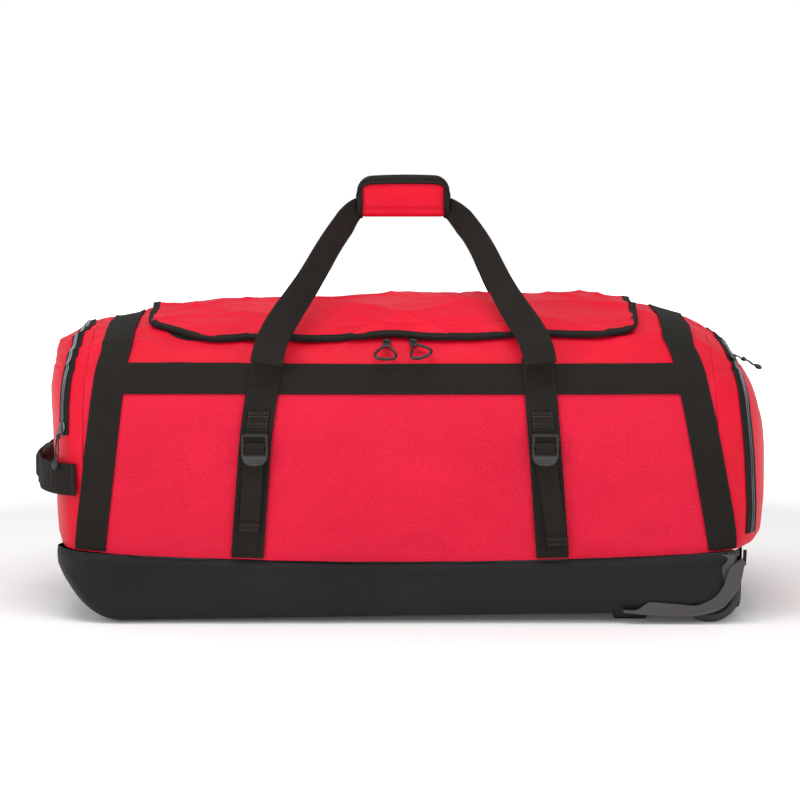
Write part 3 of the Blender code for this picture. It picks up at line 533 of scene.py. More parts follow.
# woven cloth: two thread directions at an angle, uneven dye and small slubs
def wovenMaterial(name, dark, light, roughness, pitchA, pitchB, angle, bumpDistance, sheen, mottle=0.35,
                  grain=0.5, strength=0.5):
    made, tree, shader = newMaterial(name, light, roughness)
    shader.inputs["Sheen Weight"].default_value = sheen
    shader.inputs["Sheen Roughness"].default_value = 0.5
    shader.inputs["Specular IOR Level"].default_value = 0.18
    uv = addNode(tree, "ShaderNodeUVMap", {"uv_map": "metres"})
    turned = addNode(tree, "ShaderNodeMapping", {"Rotation": (0.0, 0.0, math.radians(angle))},
                     {"Vector": uv.outputs[0]})
    parts = addNode(tree, "ShaderNodeSeparateXYZ", {}, {0: turned.outputs[0]})
    one = wave(tree, parts.outputs[0], pitchA)
    two = wave(tree, parts.outputs[1], pitchB)
    weave = combine(tree, "MULTIPLY", one, two)
    weave = combine(tree, "ADD", combine(tree, "MULTIPLY", weave, 0.5), combine(tree, "MULTIPLY", one, 0.5))
    place = addNode(tree, "ShaderNodeTexCoord", {})
    clouds = addNode(tree, "ShaderNodeTexNoise", {"Scale": 9.0, "Detail": 3.0, "Roughness": 0.55},
                     {"Vector": place.outputs["Object"]})
    slubs = addNode(tree, "ShaderNodeTexNoise", {"Scale": 900.0, "Detail": 2.0},
                    {"Vector": place.outputs["Object"]})
    level = combine(tree, "ADD", combine(tree, "MULTIPLY", weave, grain * 0.5), 0.5)
    drift = combine(tree, "MULTIPLY", combine(tree, "SUBTRACT", clouds.outputs[0], 0.5), mottle * 2)
    level = combine(tree, "ADD", level, drift)
    level = combine(tree, "ADD", level,
                    combine(tree, "MULTIPLY", combine(tree, "SUBTRACT", slubs.outputs[0], 0.5), 0.35))
    clamp = addNode(tree, "ShaderNodeClamp", {}, {0: level})
    tinted(tree, shader, clamp.outputs[0], dark, light)
    height = combine(tree, "ADD", weave, combine(tree, "MULTIPLY", slubs.outputs[0], 0.8))
    bumped(tree, shader, height, strength, bumpDistance)
    return made


# moulded or cast stuff: fine spark texture, faint uneven tone, rubbed patches
def mouldedMaterial(name, dark, light, roughness, grainScale, bumpDistance, strength=0.25, **shaderValues):
    made, tree, shader = newMaterial(name, light, roughness, **shaderValues)
    place = addNode(tree, "ShaderNodeTexCoord", {})
    fine = addNode(tree, "ShaderNodeTexNoise", {"Scale": grainScale, "Detail": 3.0},
                   {"Vector": place.outputs["Object"]})
    broad = addNode(tree, "ShaderNodeTexNoise", {"Scale": 26.0, "Detail": 2.0},
                    {"Vector": place.outputs["Object"]})
    tinted(tree, shader, broad.outputs[0], dark, light)
    span = addNode(tree, "ShaderNodeMapRange",
                   {"To Min": max(roughness - 0.08, 0.05),
                    "To Max": min(roughness + 0.10, 1.0)}, {"Value": broad.outputs[0]})
    tree.links.new(span.outputs[0], shader.inputs["Roughness"])
    bumped(tree, shader, fine.outputs[0], strength, bumpDistance)
    return made


# red front cloth: diagonal dobby polyester, pitch about 2.3 mm
redDobby = wovenMaterial("redDobbyPolyester", "#b70c29", "#f81f45", 0.62, 0.0023, 0.0023, 45.0, 0.00034,
                         0.0, 0.20, 1.15, 0.9)
# red top and pockets: plain woven polyester, finer and a little glossier
redPlain = wovenMaterial("redPlainPolyester", "#b60620", "#f00a31", 0.52, 0.0016, 0.0016, 45.0, 0.00016,
                         0.0, 0.34, 0.55, 0.6)
# webbing: flat polypropylene, fine ribs across the run
blackWebbing = wovenMaterial("blackRibbedWebbing", "#0b0908", "#292520", 0.80, 0.0021, 0.0011, 0.0, 0.00028,
                             0.0, 0.30, 1.0, 0.8)
# binding: soft grosgrain folded over raw edges
blackBinding = wovenMaterial("blackGrosgrainBinding", "#0b0a09", "#27231f", 0.78, 0.0100, 0.0011, 0.0,
                             0.00026, 0.0, 0.30, 1.0, 0.8)
# base: coated oxford cloth, dull with a little broad shine
charcoalOxford = wovenMaterial("charcoalCoatedOxford", "#100f10", "#262525", 0.52, 0.0014, 0.0014, 0.0,
                               0.00020, 0.0, 0.40, 0.8, 0.7)
# lining inside the body: thin matt taffeta
blackLining = wovenMaterial("greyLiningTaffeta", "#26282b", "#3b3e42", 0.6, 0.0008, 0.0008, 0.0, 0.00005,
                            0.02)
# air mesh let into the base corners
airMesh = wovenMaterial("blackAirMesh", "#060606", "#4a4a48", 0.6, 0.0030, 0.0030, 45.0, 0.00040, 0.0, 0.1,
                        1.6, 0.9)
zipTape = wovenMaterial("blackZipTape", "#0b0a0a", "#1e1c1b", 0.75, 0.0016, 0.0009, 0.0, 0.00012, 0.0)
# moulded nylon, acetal, polypropylene and urethane: a fine spark texture and soft highlights;
# plated metal is brighter
zipCoil = mouldedMaterial("greyNylonCoil", "#6c6c70", "#9c9ca0", 0.35, 900.0, 0.00005)
blackCoil = mouldedMaterial("blackNylonCoil", "#101010", "#222222", 0.35, 900.0, 0.00005)
acetal = mouldedMaterial("blackAcetalMoulding", "#0c0c0c", "#171717", 0.30, 1300.0, 0.00006)
# buckle thumb tab: the same black acetal painted a lighter grey, a painted highlight on its bulge
paintedHighlightAcetal = mouldedMaterial("rubbedAcetalTab", "#262624", "#3a3a37", 0.34, 1300.0, 0.00006)
housingPlastic = mouldedMaterial("darkGreyPolypropylene", "#383636", "#484645", 0.42, 1500.0, 0.00010)
tyreRubber = mouldedMaterial("darkUrethaneTyre", "#232323", "#343434", 0.5, 700.0, 0.00008)
hubPlastic = mouldedMaterial("blackNylonHub", "#121212", "#202020", 0.4, 1100.0, 0.00006)
gunmetal = mouldedMaterial("gunmetalPlating", "#54565a", "#7c7e82", 0.28, 500.0, 0.00003, Metallic=1.0)
axleSteel = mouldedMaterial("zincPlatedSteel", "#a2a4a8", "#c4c6ca", 0.3, 500.0, 0.00003, Metallic=1.0)
glossCord = mouldedMaterial("blackCoatedCord", "#070707", "#101010", 0.20, 600.0, 0.00008)
blackThread = newMaterial("blackPolyesterThread", "#241f1c", 0.6)[0]
redThread = newMaterial("redPolyesterThread", "#d3324a", 0.6)[0]
greyThread = newMaterial("greyPolyesterThread", "#5a5550", 0.6)[0]
gripCloth = wovenMaterial("blackPatternedGripCloth", "#070606", "#2a2724", 0.55, 0.0042, 0.0042, 45.0,
                          0.0006, 0.04, 0.3, 1.2, 0.9)
boardPlastic = mouldedMaterial("blackPolyethyleneBoard", "#1b1b1b", "#2a2a2a", 0.5, 500.0, 0.0001)
print("stage: materials")

# Body cloth, lining, pockets
tapeLow, tapeHigh = boxOf("zip_tape_body")
mouth = {"x": (tapeLow[0] + 0.0110, tapeHigh[0] - 0.0110), "y": (tapeLow[1] + 0.0110, tapeHigh[1] + 0.0100),
         "corner": 0.035}
bodyCloth = {"columns": 250, "rows": 230, "liningInset": 0.0055}


# inside the mouth's rounded rectangle
def inMouth(x, y, grow=0.0):
    cx = (mouth["x"][0] + mouth["x"][1]) / 2
    cy = (mouth["y"][0] + mouth["y"][1]) / 2
    hx = (mouth["x"][1] - mouth["x"][0]) / 2 + grow - mouth["corner"]
    hy = (mouth["y"][1] - mouth["y"][0]) / 2 + grow - mouth["corner"]
    dx = np.maximum(np.abs(x - cx) - hx, 0.0)
    dy = np.maximum(np.abs(y - cy) - hy, 0.0)
    return np.hypot(dx, dy) < mouth["corner"]


sectionA = np.linspace(0.0, 2.0, 400)
sectionLength = lengthsAlong(rawSkin(np.zeros(400), sectionA))


# a patch of the body's cloth over a grid of x and a
def clothPatch(name, xs, aas, lift, materials, pick=None, dropMouth=False, caps=()):
    gridX, gridA = np.meshgrid(xs, aas, indexing="ij")
    points = skin(gridX, gridA, lift)
    uv = np.stack([gridX, np.interp(gridA, sectionA, sectionLength)], -1).reshape(-1, 2)
    rows, cols = gridX.shape
    verts = points.reshape(-1, 3)
    faces = np.array(gridFaces(rows, cols))
    if dropMouth:
        mid = verts[faces].mean(1)
        faces = faces[~(inMouth(mid[:, 0], mid[:, 1]) & (mid[:, 2] > 0.25))]
    faces = [tuple(f) for f in faces] + list(caps)
    obj = meshObject(name, verts, faces, materials[0], uv)
    for extra in materials[1:]:
        obj.data.materials.append(extra)
    if pick is not None:
        mesh = obj.data
        centres = np.empty(len(mesh.polygons) * 3, np.float32)
        mesh.polygons.foreach_get("center", centres)
        mesh.polygons.foreach_set("material_index", pick(centres.reshape(-1, 3)).astype(np.int32))
    return obj


# turns an open patch so that its faces look away from the bag's middle
def faceOut(obj, inward=False):
    work = bmesh.new()
    work.from_mesh(obj.data)
    total = 0.0
    middle = np.array([0.0, 0.0, 0.19])
    for face in work.faces:
        total += float(np.dot(face.normal, np.array(face.calc_center_median()) - middle)) * face.calc_area()
    if (total < 0) != inward:
        bmesh.ops.reverse_faces(work, faces=work.faces)
    work.to_mesh(obj.data)
    work.free()
    return obj


end = bodyHigh[0]
bodyX = np.linspace(-end, end, bodyCloth["columns"])
bodyA = np.linspace(0.0, 2.0, bodyCloth["rows"])
bodyShell = clothPatch("bodyCloth", bodyX, bodyA, 0.0, [redDobby, redPlain],
                       lambda c: c[:, 2] > bandZ - 0.002, True)
faceOut(bodyShell)
finishPiece(bodyShell, "bag", "red_cloth", "body_shell")

liningX = np.linspace(-end + 0.005, end - 0.005, 90)
liningA = np.linspace(0.0, 2.0, 90)
ends = [tuple(range(90)), tuple(89 * 90 + j for j in range(90))]
lining = clothPatch("bodyLining", liningX, liningA, -bodyCloth["liningInset"], [blackLining], None, True,
                    ends)
faceOut(lining, True)
finishPiece(lining, "bag", "charcoal_cloth")


# an end pocket: sections crowd towards the tip, and the end face swells a little
def pocketCloth(name, near, tip, sign):
    xs = sign * (near + (tip - near) * np.sin(np.linspace(0.0, np.pi / 2, 46)))
    aas = np.linspace(0.0, 2.0, 200)
    gridX, gridA = np.meshgrid(xs, aas, indexing="ij")
    points = skin(gridX, gridA)
    low = seamZ(sign * tip)
    middle = np.array([0.0, 0.0, (low + crownZ(sign * tip)) / 2 - 0.03])
    rings = [points]
    last = points[-1]
    for k in range(1, 22):
        s = 1.0 - (k / 21.0)
        ring = middle + (last - middle) * s
        ring[:, 2] = np.maximum(ring[:, 2], low)
        lean = np.interp(ring[:, 2], endHeights, endShift["left" if sign < 0 else "right"])
        crease = 0.0012 * creases(ring[:, 1] * 9 + ring[:, 2] * 5, ring[:, 2] * 10 - ring[:, 1] * 2 + 3,
                                  5.0)
        bulge = 0.0024 * billow(ring[:, 1] * 14 + 3.0, ring[:, 2] * 16 + 1.0, 3) + crease - 0.0006
        flatX = tip + lean + 0.0010 + bulge
        edge = s ** 6
        ring[:, 0] = sign * (flatX * (1 - edge) + np.abs(last[:, 0]) * edge)
        rings.append(ring[None])
    points = np.concatenate(rings, 0)
    rows, cols = points.shape[:2]
    flat = points.reshape(-1, 3)
    around = np.interp(gridA, sectionA, sectionLength)
    u = np.concatenate([gridX, np.repeat(np.linspace(0.01, 0.10, 21)[:, None] * sign + sign * tip, cols,
        1)], 0)
    v = np.concatenate([around, np.repeat(around[-1:], 21, 0)], 0)
    faces = gridFaces(rows, cols)
    # the bottom of the end face, between the two seams
    faces.append(tuple([k * cols for k in range(45, rows)] + [k * cols + cols - 1
        for k in range(rows - 1, 44, -1)]))
    faces.append(tuple(range(cols)))
    return meshObject(name, flat, faces, redPlain, np.stack([u, v], -1).reshape(-1, 2))


finishPiece(pocketCloth("pocketLeftCloth", -boxOf("pocket_left")[1][0], -leftTip, -1.0), "bag", "red_cloth",
            "pocket_left")
finishPiece(pocketCloth("pocketRightCloth", boxOf("pocket_right")[0][0], rightTip, 1.0), "bag", "red_cloth",
            "pocket_right")
print("stage: body cloth")

# Base
base = {"left": 0.4280, "right": 0.4180, "half": trayHigh[1], "corner": 0.0210, "fabric": 0.0030,
        "sink": 0.0012}
wellLow, wellHigh = boxOf("housing_back")
wheelLow, wheelHigh = boxOf("tyre_back")
wheel = {
    "x": (wheelLow[0] + wheelHigh[0]) / 2, "y": (wheelLow[1] + wheelHigh[1]) / 2, "radius": (wheelHigh[2]
        - wheelLow[2]) / 2,
    "width": wheelHigh[1] - wheelLow[1], "hub": 0.0262, "axle": 0.0040, "room": 0.0415}
well = {"x": (0.3240, 0.3985), "y": (wellLow[1], 0.1860), "z": (0.0125, 0.0830), "flange": wellHigh[1]}


def baseBottom(x):
    return 0.0022 + np.maximum(x + 0.33, 0.0) * 0.0130 + 0.090 * (np.maximum(-0.33 - x, 0.0) / 0.095) ** 2.2


def baseHalf(x):
    share = np.where(x < 0, (np.abs(x) / base["left"]) ** 20, (np.abs(x) / base["right"]) ** 40)
    return base["half"] * np.sqrt(np.maximum(1.0 - share, 0.0))


# the flange's upper edge, smooth
def sEdge():
    toe = [(0.2640, 0.0176), (0.2790, 0.0172), (0.2900, 0.0245), (0.2965, 0.0268), (0.3150, 0.0255),
           (0.3340, 0.0238), (0.3504, 0.0226)]
    sweepUp = [(0.3455 + 0.0405 * math.cos(t), 0.0640 + 0.0405 * math.sin(t))
               for t in np.radians(np.linspace(-62.0, -6.0, 7))]
    points = np.array(toe + sweepUp + [(0.3885, 0.0668), (0.3930, 0.0710), (0.4040, 0.0790)])
    return spline(points, 90)


flangeEdge = sEdge()


# below or right of the flange's upper edge
def underFlange(x, z):
    order = flangeEdge[:, 0]
    top = np.interp(x, order, flangeEdge[:, 1])
    return (x > order[0]) & ((z < top) | (x > 0.4040))


# t 0 at the front seam, 1 at the bottom's middle, 2 at the back seam
def baseSection(x, t, inset=0.0):
    side = np.where(t <= 1.0, -1.0, 1.0)
    s = np.where(t <= 1.0, t, 2.0 - t)
    w = baseHalf(x) - inset
    low = baseBottom(x) + inset
    high = seamZ(x) - 0.0004
    r = np.minimum(base["corner"], 0.45 * (high - low))
    wall = high - low - r
    floor = np.maximum(w - r, 0.0)
    # shares of t for the wall, the round and the floor
    a = 0.36
    b = 0.58
    inWall = s < a
    inTurn = (s >= a) & (s < b)
    angle = np.clip((s - a) / (b - a), 0, 1) * np.pi / 2
    y = np.where(inWall, w * (0.995 + 0.005 * np.clip(s / a * 2, 0, 1)),
                 np.where(inTurn, w - r + r * np.cos(angle), floor * (1 - (s - b) / (1 - b))))
    z = np.where(inWall, high - wall * s / a, np.where(inTurn, low + r - r * np.sin(angle), low))
    return np.stack([x + 0 * s, side * np.maximum(y, 0.0), z], -1)


def baseSkin(x, t, inset=0.0):
    p = baseSection(x, t, inset)
    s = np.where(t <= 1.0, t, 2.0 - t)
    side = np.where(t <= 1.0, -1.0, 1.0)
    z = p[..., 2]
    onWall = np.clip((0.62 - s) / 0.15, 0, 1)
    roll = 0.0022 * np.exp(-((z - seamZ(x) + 0.009) / 0.006) ** 2) - 0.0028 * np.exp(-((z - seamZ(x))
        / 0.0035) ** 2)
    wrinkle = 0.0024 * billow(x * 8 + 2.0, z * 14 + 5.0, 3) + 0.0013 * creases(x * 9 + z * 12,
        z * 9 - x * 4, 4.0)
    wrinkle = wrinkle + 0.0010 * creases(x * 14 - z * 16 + 4.0, z * 12 + x * 3, 6.0)
    out = (roll + wrinkle - base["sink"]) * onWall
    away = np.clip(s / 0.58, 0, 1) * np.pi / 2
    p[..., 1] = p[..., 1] + side * out * np.cos(away)
    p[..., 2] = p[..., 2] - out * np.sin(away) * 0.4
    return p


def basePatch(name, inset, columns, rows, material, inward):
    lowX = trayLow[0] + 0.0050 + inset
    highX = trayHigh[0] - inset
    middle = np.linspace(0.0, 1.0, columns)
    xs = lowX + (highX - lowX) * (0.5 - 0.5 * np.cos(middle * np.pi)) * 0.35 + (highX
        - lowX) * middle * 0.65
    ts = np.linspace(0.0, 2.0, rows)
    gridX, gridT = np.meshgrid(xs, ts, indexing="ij")
    points = baseSkin(gridX, gridT, inset) if inset == 0 else baseSection(gridX, gridT, inset)
    caps = []
    for k, sign in ((0, -1.0), (columns - 1, 1.0)):
        ring = points[k]
        centre = ring.mean(0)
        cap = []
        for s in np.linspace(1.0, 0.0, 16)[1:]:
            shrunk = centre + (ring - centre) * s
            shrunk[:, 0] = ring[:, 0] + sign * (0.0030 * (1 - s ** 4) + 0.0020 * billow(shrunk[:, 1] * 12,
                shrunk[:, 2] * 14 + 4, 2) * (1 - s)) * (inset == 0)
            cap.append(shrunk)
        caps.append(np.array(cap))
    points = np.concatenate([caps[0][::-1], points, caps[1]], 0)
    uv = np.stack([points[..., 0], np.broadcast_to(np.interp(ts, [0, .36, .58, 1, 1.42, 1.64, 2],
        [0, .05, .08, .25, .42, .45, .5]), points.shape[:2])], -1)
    faces = np.array(gridFaces(*points.shape[:2]))
    verts = points.reshape(-1, 3)
    mid = verts[faces].mean(1)
    deep = np.abs(mid[:, 1]) > well["y"][0]
    gone = deep & underFlange(mid[:, 0], mid[:, 2])
    gone |= (np.abs(mid[:, 1]) > well["y"][0]) & (np.abs(mid[:, 1]) < well["y"][1]) & (mid[:,
        0] > well["x"][0]) & (mid[:, 2] < well["z"][1] - 0.004)
    obj = meshObject(name, verts, faces[~gone], material, uv.reshape(-1, 2))
    if not inward:
        obj.data.materials.append(airMesh)
        for poly in obj.data.polygons:
            at = poly.center
            poly.material_index = int(at[0] > 0.388 and at[2] > 0.062 and abs(at[1]) > 0.12)
    return faceOut(obj, inward)


baseCloth = basePatch("baseCloth", 0.0, 260, 190, charcoalOxford, False)
baseInner = basePatch("baseInner", base["fabric"], 80, 70, blackLining, True)
finishPiece(baseCloth, "bag", "charcoal_cloth", "base_tray")
finishPiece(baseInner, "bag", "charcoal_cloth")
print("stage: base")

# Hard parts


def roundBox(name, low, high, radius, material, segments=3):
    low = np.array(low, float)
    high = np.array(high, float)
    corners = [(x, y, z) for x in (low[0], high[0]) for y in (low[1], high[1]) for z in (low[2], high[2])]
    faces = [(0, 1, 3, 2), (4, 6, 7, 5), (0, 4, 5, 1), (2, 3, 7, 6), (0, 2, 6, 4), (1, 5, 7, 3)]
    obj = meshObject(name, corners, faces, material, None, False)
    withModifier(obj, "BEVEL", width=radius, segments=segments, limit_method="NONE")
    frozen(obj)
    withModifier(smoothShaded(obj), "WEIGHTED_NORMAL", keep_sharp=True)
    return frozen(obj)


# a flat outline given thickness, its edges rounded
def plate(name, outline, axis, low, high, bevel, material, segments=3):
    verts = []
    for at in (low, high):
        for p, q in outline:
            verts.append({"x": (at, p, q), "y": (p, at, q), "z": (p, q, at)}[axis])
    n = len(outline)
    faces = [tuple(range(n)), tuple(range(n, 2 * n))] + [(i, (i + 1) % n, n + (i + 1) % n, n + i)
        for i in range(n)]
    obj = meshObject(name, verts, faces, material, None, False)
    if bevel > 0:
        withModifier(obj, "BEVEL", width=bevel, segments=segments, limit_method="ANGLE",
                     angle_limit=math.radians(40))
        frozen(obj)
    withModifier(smoothShaded(obj), "WEIGHTED_NORMAL", keep_sharp=True)
    return frozen(obj)


# a ring about a Y axis from a closed profile of (radius, y)
def turnedPart(name, profile, centre, material, sides=64):
    profile = np.asarray(profile)
    t = fullTurn(sides)
    points = np.stack(np.broadcast_arrays(
        centre[0] + profile[None, :, 0] * np.cos(t)[:, None], profile[None, :, 1], centre[2] + profile[None,
            :, 0] * np.sin(t)[:, None]), -1)
    uv = np.stack(np.broadcast_arrays(t[:, None] * 0.03, profile[None, :, 1]), -1)
    return sweep(name, points, uv, material, closedRows=True)


# wheel housing: flange with a raised lip along its lower edge, side walls, and the arch behind it
def housing(tag, side):
    outer = side * well["flange"]
    inner = side * (well["y"][1] - 0.0030)
    lowEdge = spline(np.array([(0.4052, 0.0760), (0.4030, 0.0620), (0.4000, 0.0485), (0.3962, 0.0400),
                               (0.3831, 0.0235), (0.3700, 0.0165), (0.3585, 0.0135),
                               (0.3422, 0.0112), (0.3000, 0.0125), (0.2640, 0.0155)]), 70)
    outline = [tuple(p) for p in flangeEdge] + [tuple(p) for p in lowEdge]
    y0, y1 = sorted((inner, outer - side * 0.0008))
    parts = [plate("flange", outline, "y", y0, y1, 0.0012, housingPlastic)]
    rimPath = np.stack([lowEdge[:, 0], np.full(len(lowEdge), outer - side * 0.0016), lowEdge[:, 1]], -1)
    parts.append(roundTube("rim", rimPath, 0.0015, housingPlastic, 12))
    reach = sorted((side * well["y"][0], side * (wheel["y"] - wheel["width"] / 2 - 0.0030)))
    box = [(well["x"][0], well["z"][0] + 0.0020)] + [tuple(p) for p in lowEdge[::-1]
        if well["x"][0] < p[0] < well["x"][1] - 0.0030 and p[1] > 0.0135]
    box += [(well["x"][1] - 0.0030, well["z"][1]), (well["x"][0], well["z"][1])]
    parts.append(plate("innerWall", box, "y", reach[0], reach[1], 0.0008, housingPlastic, 2))
    reach = sorted((side * (wheel["y"] + wheel["width"] / 2 + 0.0030), side * well["y"][1]))
    parts.append(plate("outerWall", box, "y", reach[0], reach[1], 0.0008, housingPlastic, 2))
    start = math.asin((0.0651 - wheel["radius"]) / wheel["room"])
    arch = [(wheel["x"] + wheel["room"] * math.cos(t), wheel["radius"] + wheel["room"] * math.sin(t))
            for t in np.linspace(start, math.pi, 30)]
    roof = [(well["x"][0], wheel["radius"]), (well["x"][0], well["z"][1]),
            (well["x"][1], well["z"][1])] + arch
    reach = sorted((side * (wheel["y"] - wheel["width"] / 2 - 0.0032),
                    side * (wheel["y"] + wheel["width"] / 2 + 0.0032)))
    parts.append(plate("roof", roof, "y", reach[0], reach[1], 0.0, housingPlastic))
    return joinPieces("housing" + tag, parts)


def wheelSet(tag, side):
    at = (wheel["x"], side * wheel["y"], wheel["radius"])
    y0 = side * wheel["y"] - wheel["width"] / 2
    y1 = side * wheel["y"] + wheel["width"] / 2
    r = wheel["radius"]
    c = 0.0045
    shoulder = [(r - c + c * math.sin(t), c - c * math.cos(t)) for t in np.linspace(0, math.pi / 2, 7)]
    grooves = [(r, 0.0075), (r - 0.0008, 0.0081), (r - 0.0008, 0.0091), (r, 0.0097)]
    half = [(wheel["hub"] + 0.0003, 0.0020), (wheel["hub"] + 0.0012, 0.0006),
            (r - c - 0.004, 0.0)] + shoulder + grooves
    width = wheel["width"]
    profile = [(p, y0 + q) for p, q in half] + [(p, y0 + width - q) for p, q in reversed(half)]
    tyre = turnedPart("tyre" + tag, profile, at, tyreRubber, 72)
    bore = wheel["axle"] + 0.0003
    hub = wheel["hub"]
    shape = [(bore, -0.0005), (0.0080, -0.0005), (0.0085, 0.0000), (0.0088, 0.0060), (hub - 0.0050, 0.0066),
             (hub - 0.0040, 0.0056), (hub - 0.0006, 0.0018), (hub, 0.0022)]
    profile = [(p, y0 + q) for p, q in shape] + [(p, y0 + width - q) for p, q in reversed(shape)]
    parts = [turnedPart("hubDisc", profile, at, hubPlastic, 60)]
    for k in range(6):
        for low, high in ((y0 + 0.0012, y0 + 0.0068), (y1 - 0.0068, y1 - 0.0012)):
            rib = roundBox("rib", (0.0080, low, -0.0011), (hub - 0.0040, high, 0.0011), 0.0004, hubPlastic,
                           1)
            spoke = Matrix.Translation(Vector((at[0], 0.0, at[2]))) @ Matrix.Rotation(-2 * math.pi * k / 6,
                4, "Y")
            rib.data.transform(spoke)
            parts.append(rib)
    return tyre, joinPieces("hub" + tag, parts)


for side, tag in depthSides:
    low = tag.lower()
    finishPiece(housing(tag, side), "bag", "grey_plastic", "housing_" + low)
    tyre, hub = wheelSet(tag, side)
    finishPiece(tyre, "wheel_" + low, "tyre_rubber", "tyre_" + low)
    finishPiece(hub, "wheel_" + low, "black_plastic", "hub_" + low)
    axleLow, axleHigh = boxOf("axle_" + low)
    r = wheel["axle"]
    shaft = [(0.0, axleLow[1]), (r - 0.0006, axleLow[1]), (r, axleLow[1] + 0.0006),
             (r, axleHigh[1] - 0.0006), (r - 0.0006, axleHigh[1]), (0.0, axleHigh[1])]
    shaft = [(max(p, 0.00001), q) for p, q in shaft]
    finishPiece(turnedPart("axle" + tag, shaft, (wheel["x"], 0, wheel["radius"]), axleSteel, 32), "bag",
                "steel", "axle_" + low)
    for kind, name in (("skid_foot_", "skidFoot"), ("rest_foot_", "restFoot")):
        footLow, footHigh = boxOf(kind + low)
        edge = 0.0020 if kind[0] == "s" else 0.0010
        finishPiece(roundBox(name + tag, footLow, footHigh + [0, 0, 0.0015], edge, acetal, 3), "bag",
                    "black_plastic", kind + low)
    stayLow, stayHigh = boxOf("base_stay_" + low)
    finishPiece(roundBox("baseStay" + tag, stayLow, stayHigh, 0.0010, boardPlastic, 2), "bag", "board",
                "base_stay_" + low)
boardLow, boardHigh = boxOf("base_board")
finishPiece(roundBox("baseBoard", boardLow, boardHigh, 0.0010, boardPlastic, 2), "bag", "board",
            "base_board")
print("stage: wheels and housings")

# Webbing
layers = {"hoop": 0.0010, "band": 0.0008, "strap": 0.0027, "anchor": 0.0046, "tailUp": 0.0048,
          "tailDown": 0.0090}
strapHigh = boxOf("strap_front_left")[1][2]
stitchLines = {}


def addStitches(body, kind, points):
    stitchLines.setdefault((body, kind), []).append(np.asarray(points))


for sign, tag in endSides:
    aas = np.linspace(0.006, 1.994, 220)
    xs = hoopX(sign, aas)
    hoop = skinTape("hoop" + tag, xs, aas, web["wide"] / 2, 0.0, web["wide"], layers["hoop"], web["thick"],
                    blackWebbing)
    finishPiece(hoop, "bag", "webbing", "hoop_" + tag.lower())
    for s in (-0.86, 0.86):
        addStitches("bag", "black", skin(xs + s * web["wide"] / 2, aas, layers["hoop"] + web["thick"]
            + 0.0001))

for side, tag in depthSides:
    zs = (bandZ - web["band"] / 2, bandZ + web["band"] / 2)
    level = aAtHeight(0.33, bandZ, -1.0)
    reach = [float(hoopX(way, level)) - way * (web["wide"] / 2 - 0.004) for way in (-1.0, 1.0)]
    xs = np.linspace(reach[0], reach[1], 200)
    lowA = aAtHeight(xs, zs[0], side)
    highA = aAtHeight(xs, zs[1], side)
    band = skinTape("band" + tag, xs, (lowA + highA) / 2, 0.0, (highA - lowA) / 2, web["wide"],
                    layers["band"], web["thick"], blackWebbing)
    finishPiece(band, "bag", "webbing", "band_" + tag.lower())
    for s in (0.07, 0.93):
        addStitches("bag", "black", skin(xs, lowA * (1 - s) + highA * s, layers["band"] + web["thick"]
            + 0.0001))
    for sign, endTag in endSides:
        key = tag.lower() + "_" + endTag.lower()
        z = np.linspace(0.0800, strapHigh + 0.0012, 120)
        x = strapX(sign, z)
        a = aAtHeight(x, z, side)
        strap = skinTape("strap" + tag + endTag, x, a, web["wide"] / 2, 0.0, web["wide"], layers["strap"],
                         web["thick"], blackWebbing)
        finishPiece(strap, "bag", "webbing", "strap_" + key)
        lift = layers["strap"] + web["thick"] + 0.0001
        for s in (-0.86, 0.86):
            addStitches("bag", "black", skin(x + s * web["wide"] / 2, a, lift))
        # box and cross where the strap meets the band
        half = web["wide"] / 2 * 0.84
        corners = [(-half, zs[0] + 0.003), (half, zs[0] + 0.003), (half, zs[1] - 0.003),
                   (-half, zs[1] - 0.003)]
        order = [0, 1, 2, 3, 0, 2, 3, 1]
        for k in range(len(order) - 1):
            (x0, z0), (x1, z1) = corners[order[k]], corners[order[k + 1]]
            t = np.linspace(0, 1, 14)
            zz = z0 + (z1 - z0) * t
            xx = strapX(sign, zz) + x0 + (x1 - x0) * t
            addStitches("bag", "black", sideSkin(xx, zz, side, lift))
        # the sewn anchor of the buckle
        anchorLow, anchorHigh = boxOf("anchor_" + key)
        z = np.linspace(anchorLow[2], anchorHigh[2], 40)
        x = strapX(sign, z)
        a = aAtHeight(x, z, side)
        rise = layers["anchor"] + 0.0032 * np.clip((anchorLow[2] + 0.010 - z) / 0.010, 0, 1) ** 1.5
        anchor = skinTape("anchor" + tag + endTag, x, a, web["narrow"] / 2, 0.0, web["narrow"], rise,
                          0.0016, blackWebbing)
        finishPiece(anchor, "bag", "webbing", "anchor_" + key)
        for rowZ in (anchorHigh[2] - 0.003, anchorHigh[2] - 0.0065, anchorHigh[2] - 0.0150,
                     anchorHigh[2] - 0.0185):
            xx = strapX(sign, rowZ) + np.linspace(-0.0105, 0.0105, 10)
            addStitches("bag", "grey", sideSkin(xx, rowZ, side, layers["anchor"] + 0.0017))
        for s in (-0.0105, 0.0105):
            zz = np.linspace(anchorHigh[2] - 0.0185, anchorHigh[2] - 0.003, 8)
            xx = strapX(sign, zz) + s
            addStitches("bag", "grey", sideSkin(xx, zz, side, layers["anchor"] + 0.0017))

# Buckles and tails


lock = {
    "rail": 0.0032, "railLength": 0.0290, "railRound": 0.0013, "halfBar": 0.0017, "barRound": 0.0012,
    "bars": ((0.0018, 0.0036), (0.0135, 0.0032), (0.0265, 0.0046)),    # drop from the top, height
    "tabDrop": 0.0262, "tabHalf": 0.0015, "tabRows": 14, "tabSides": 18}


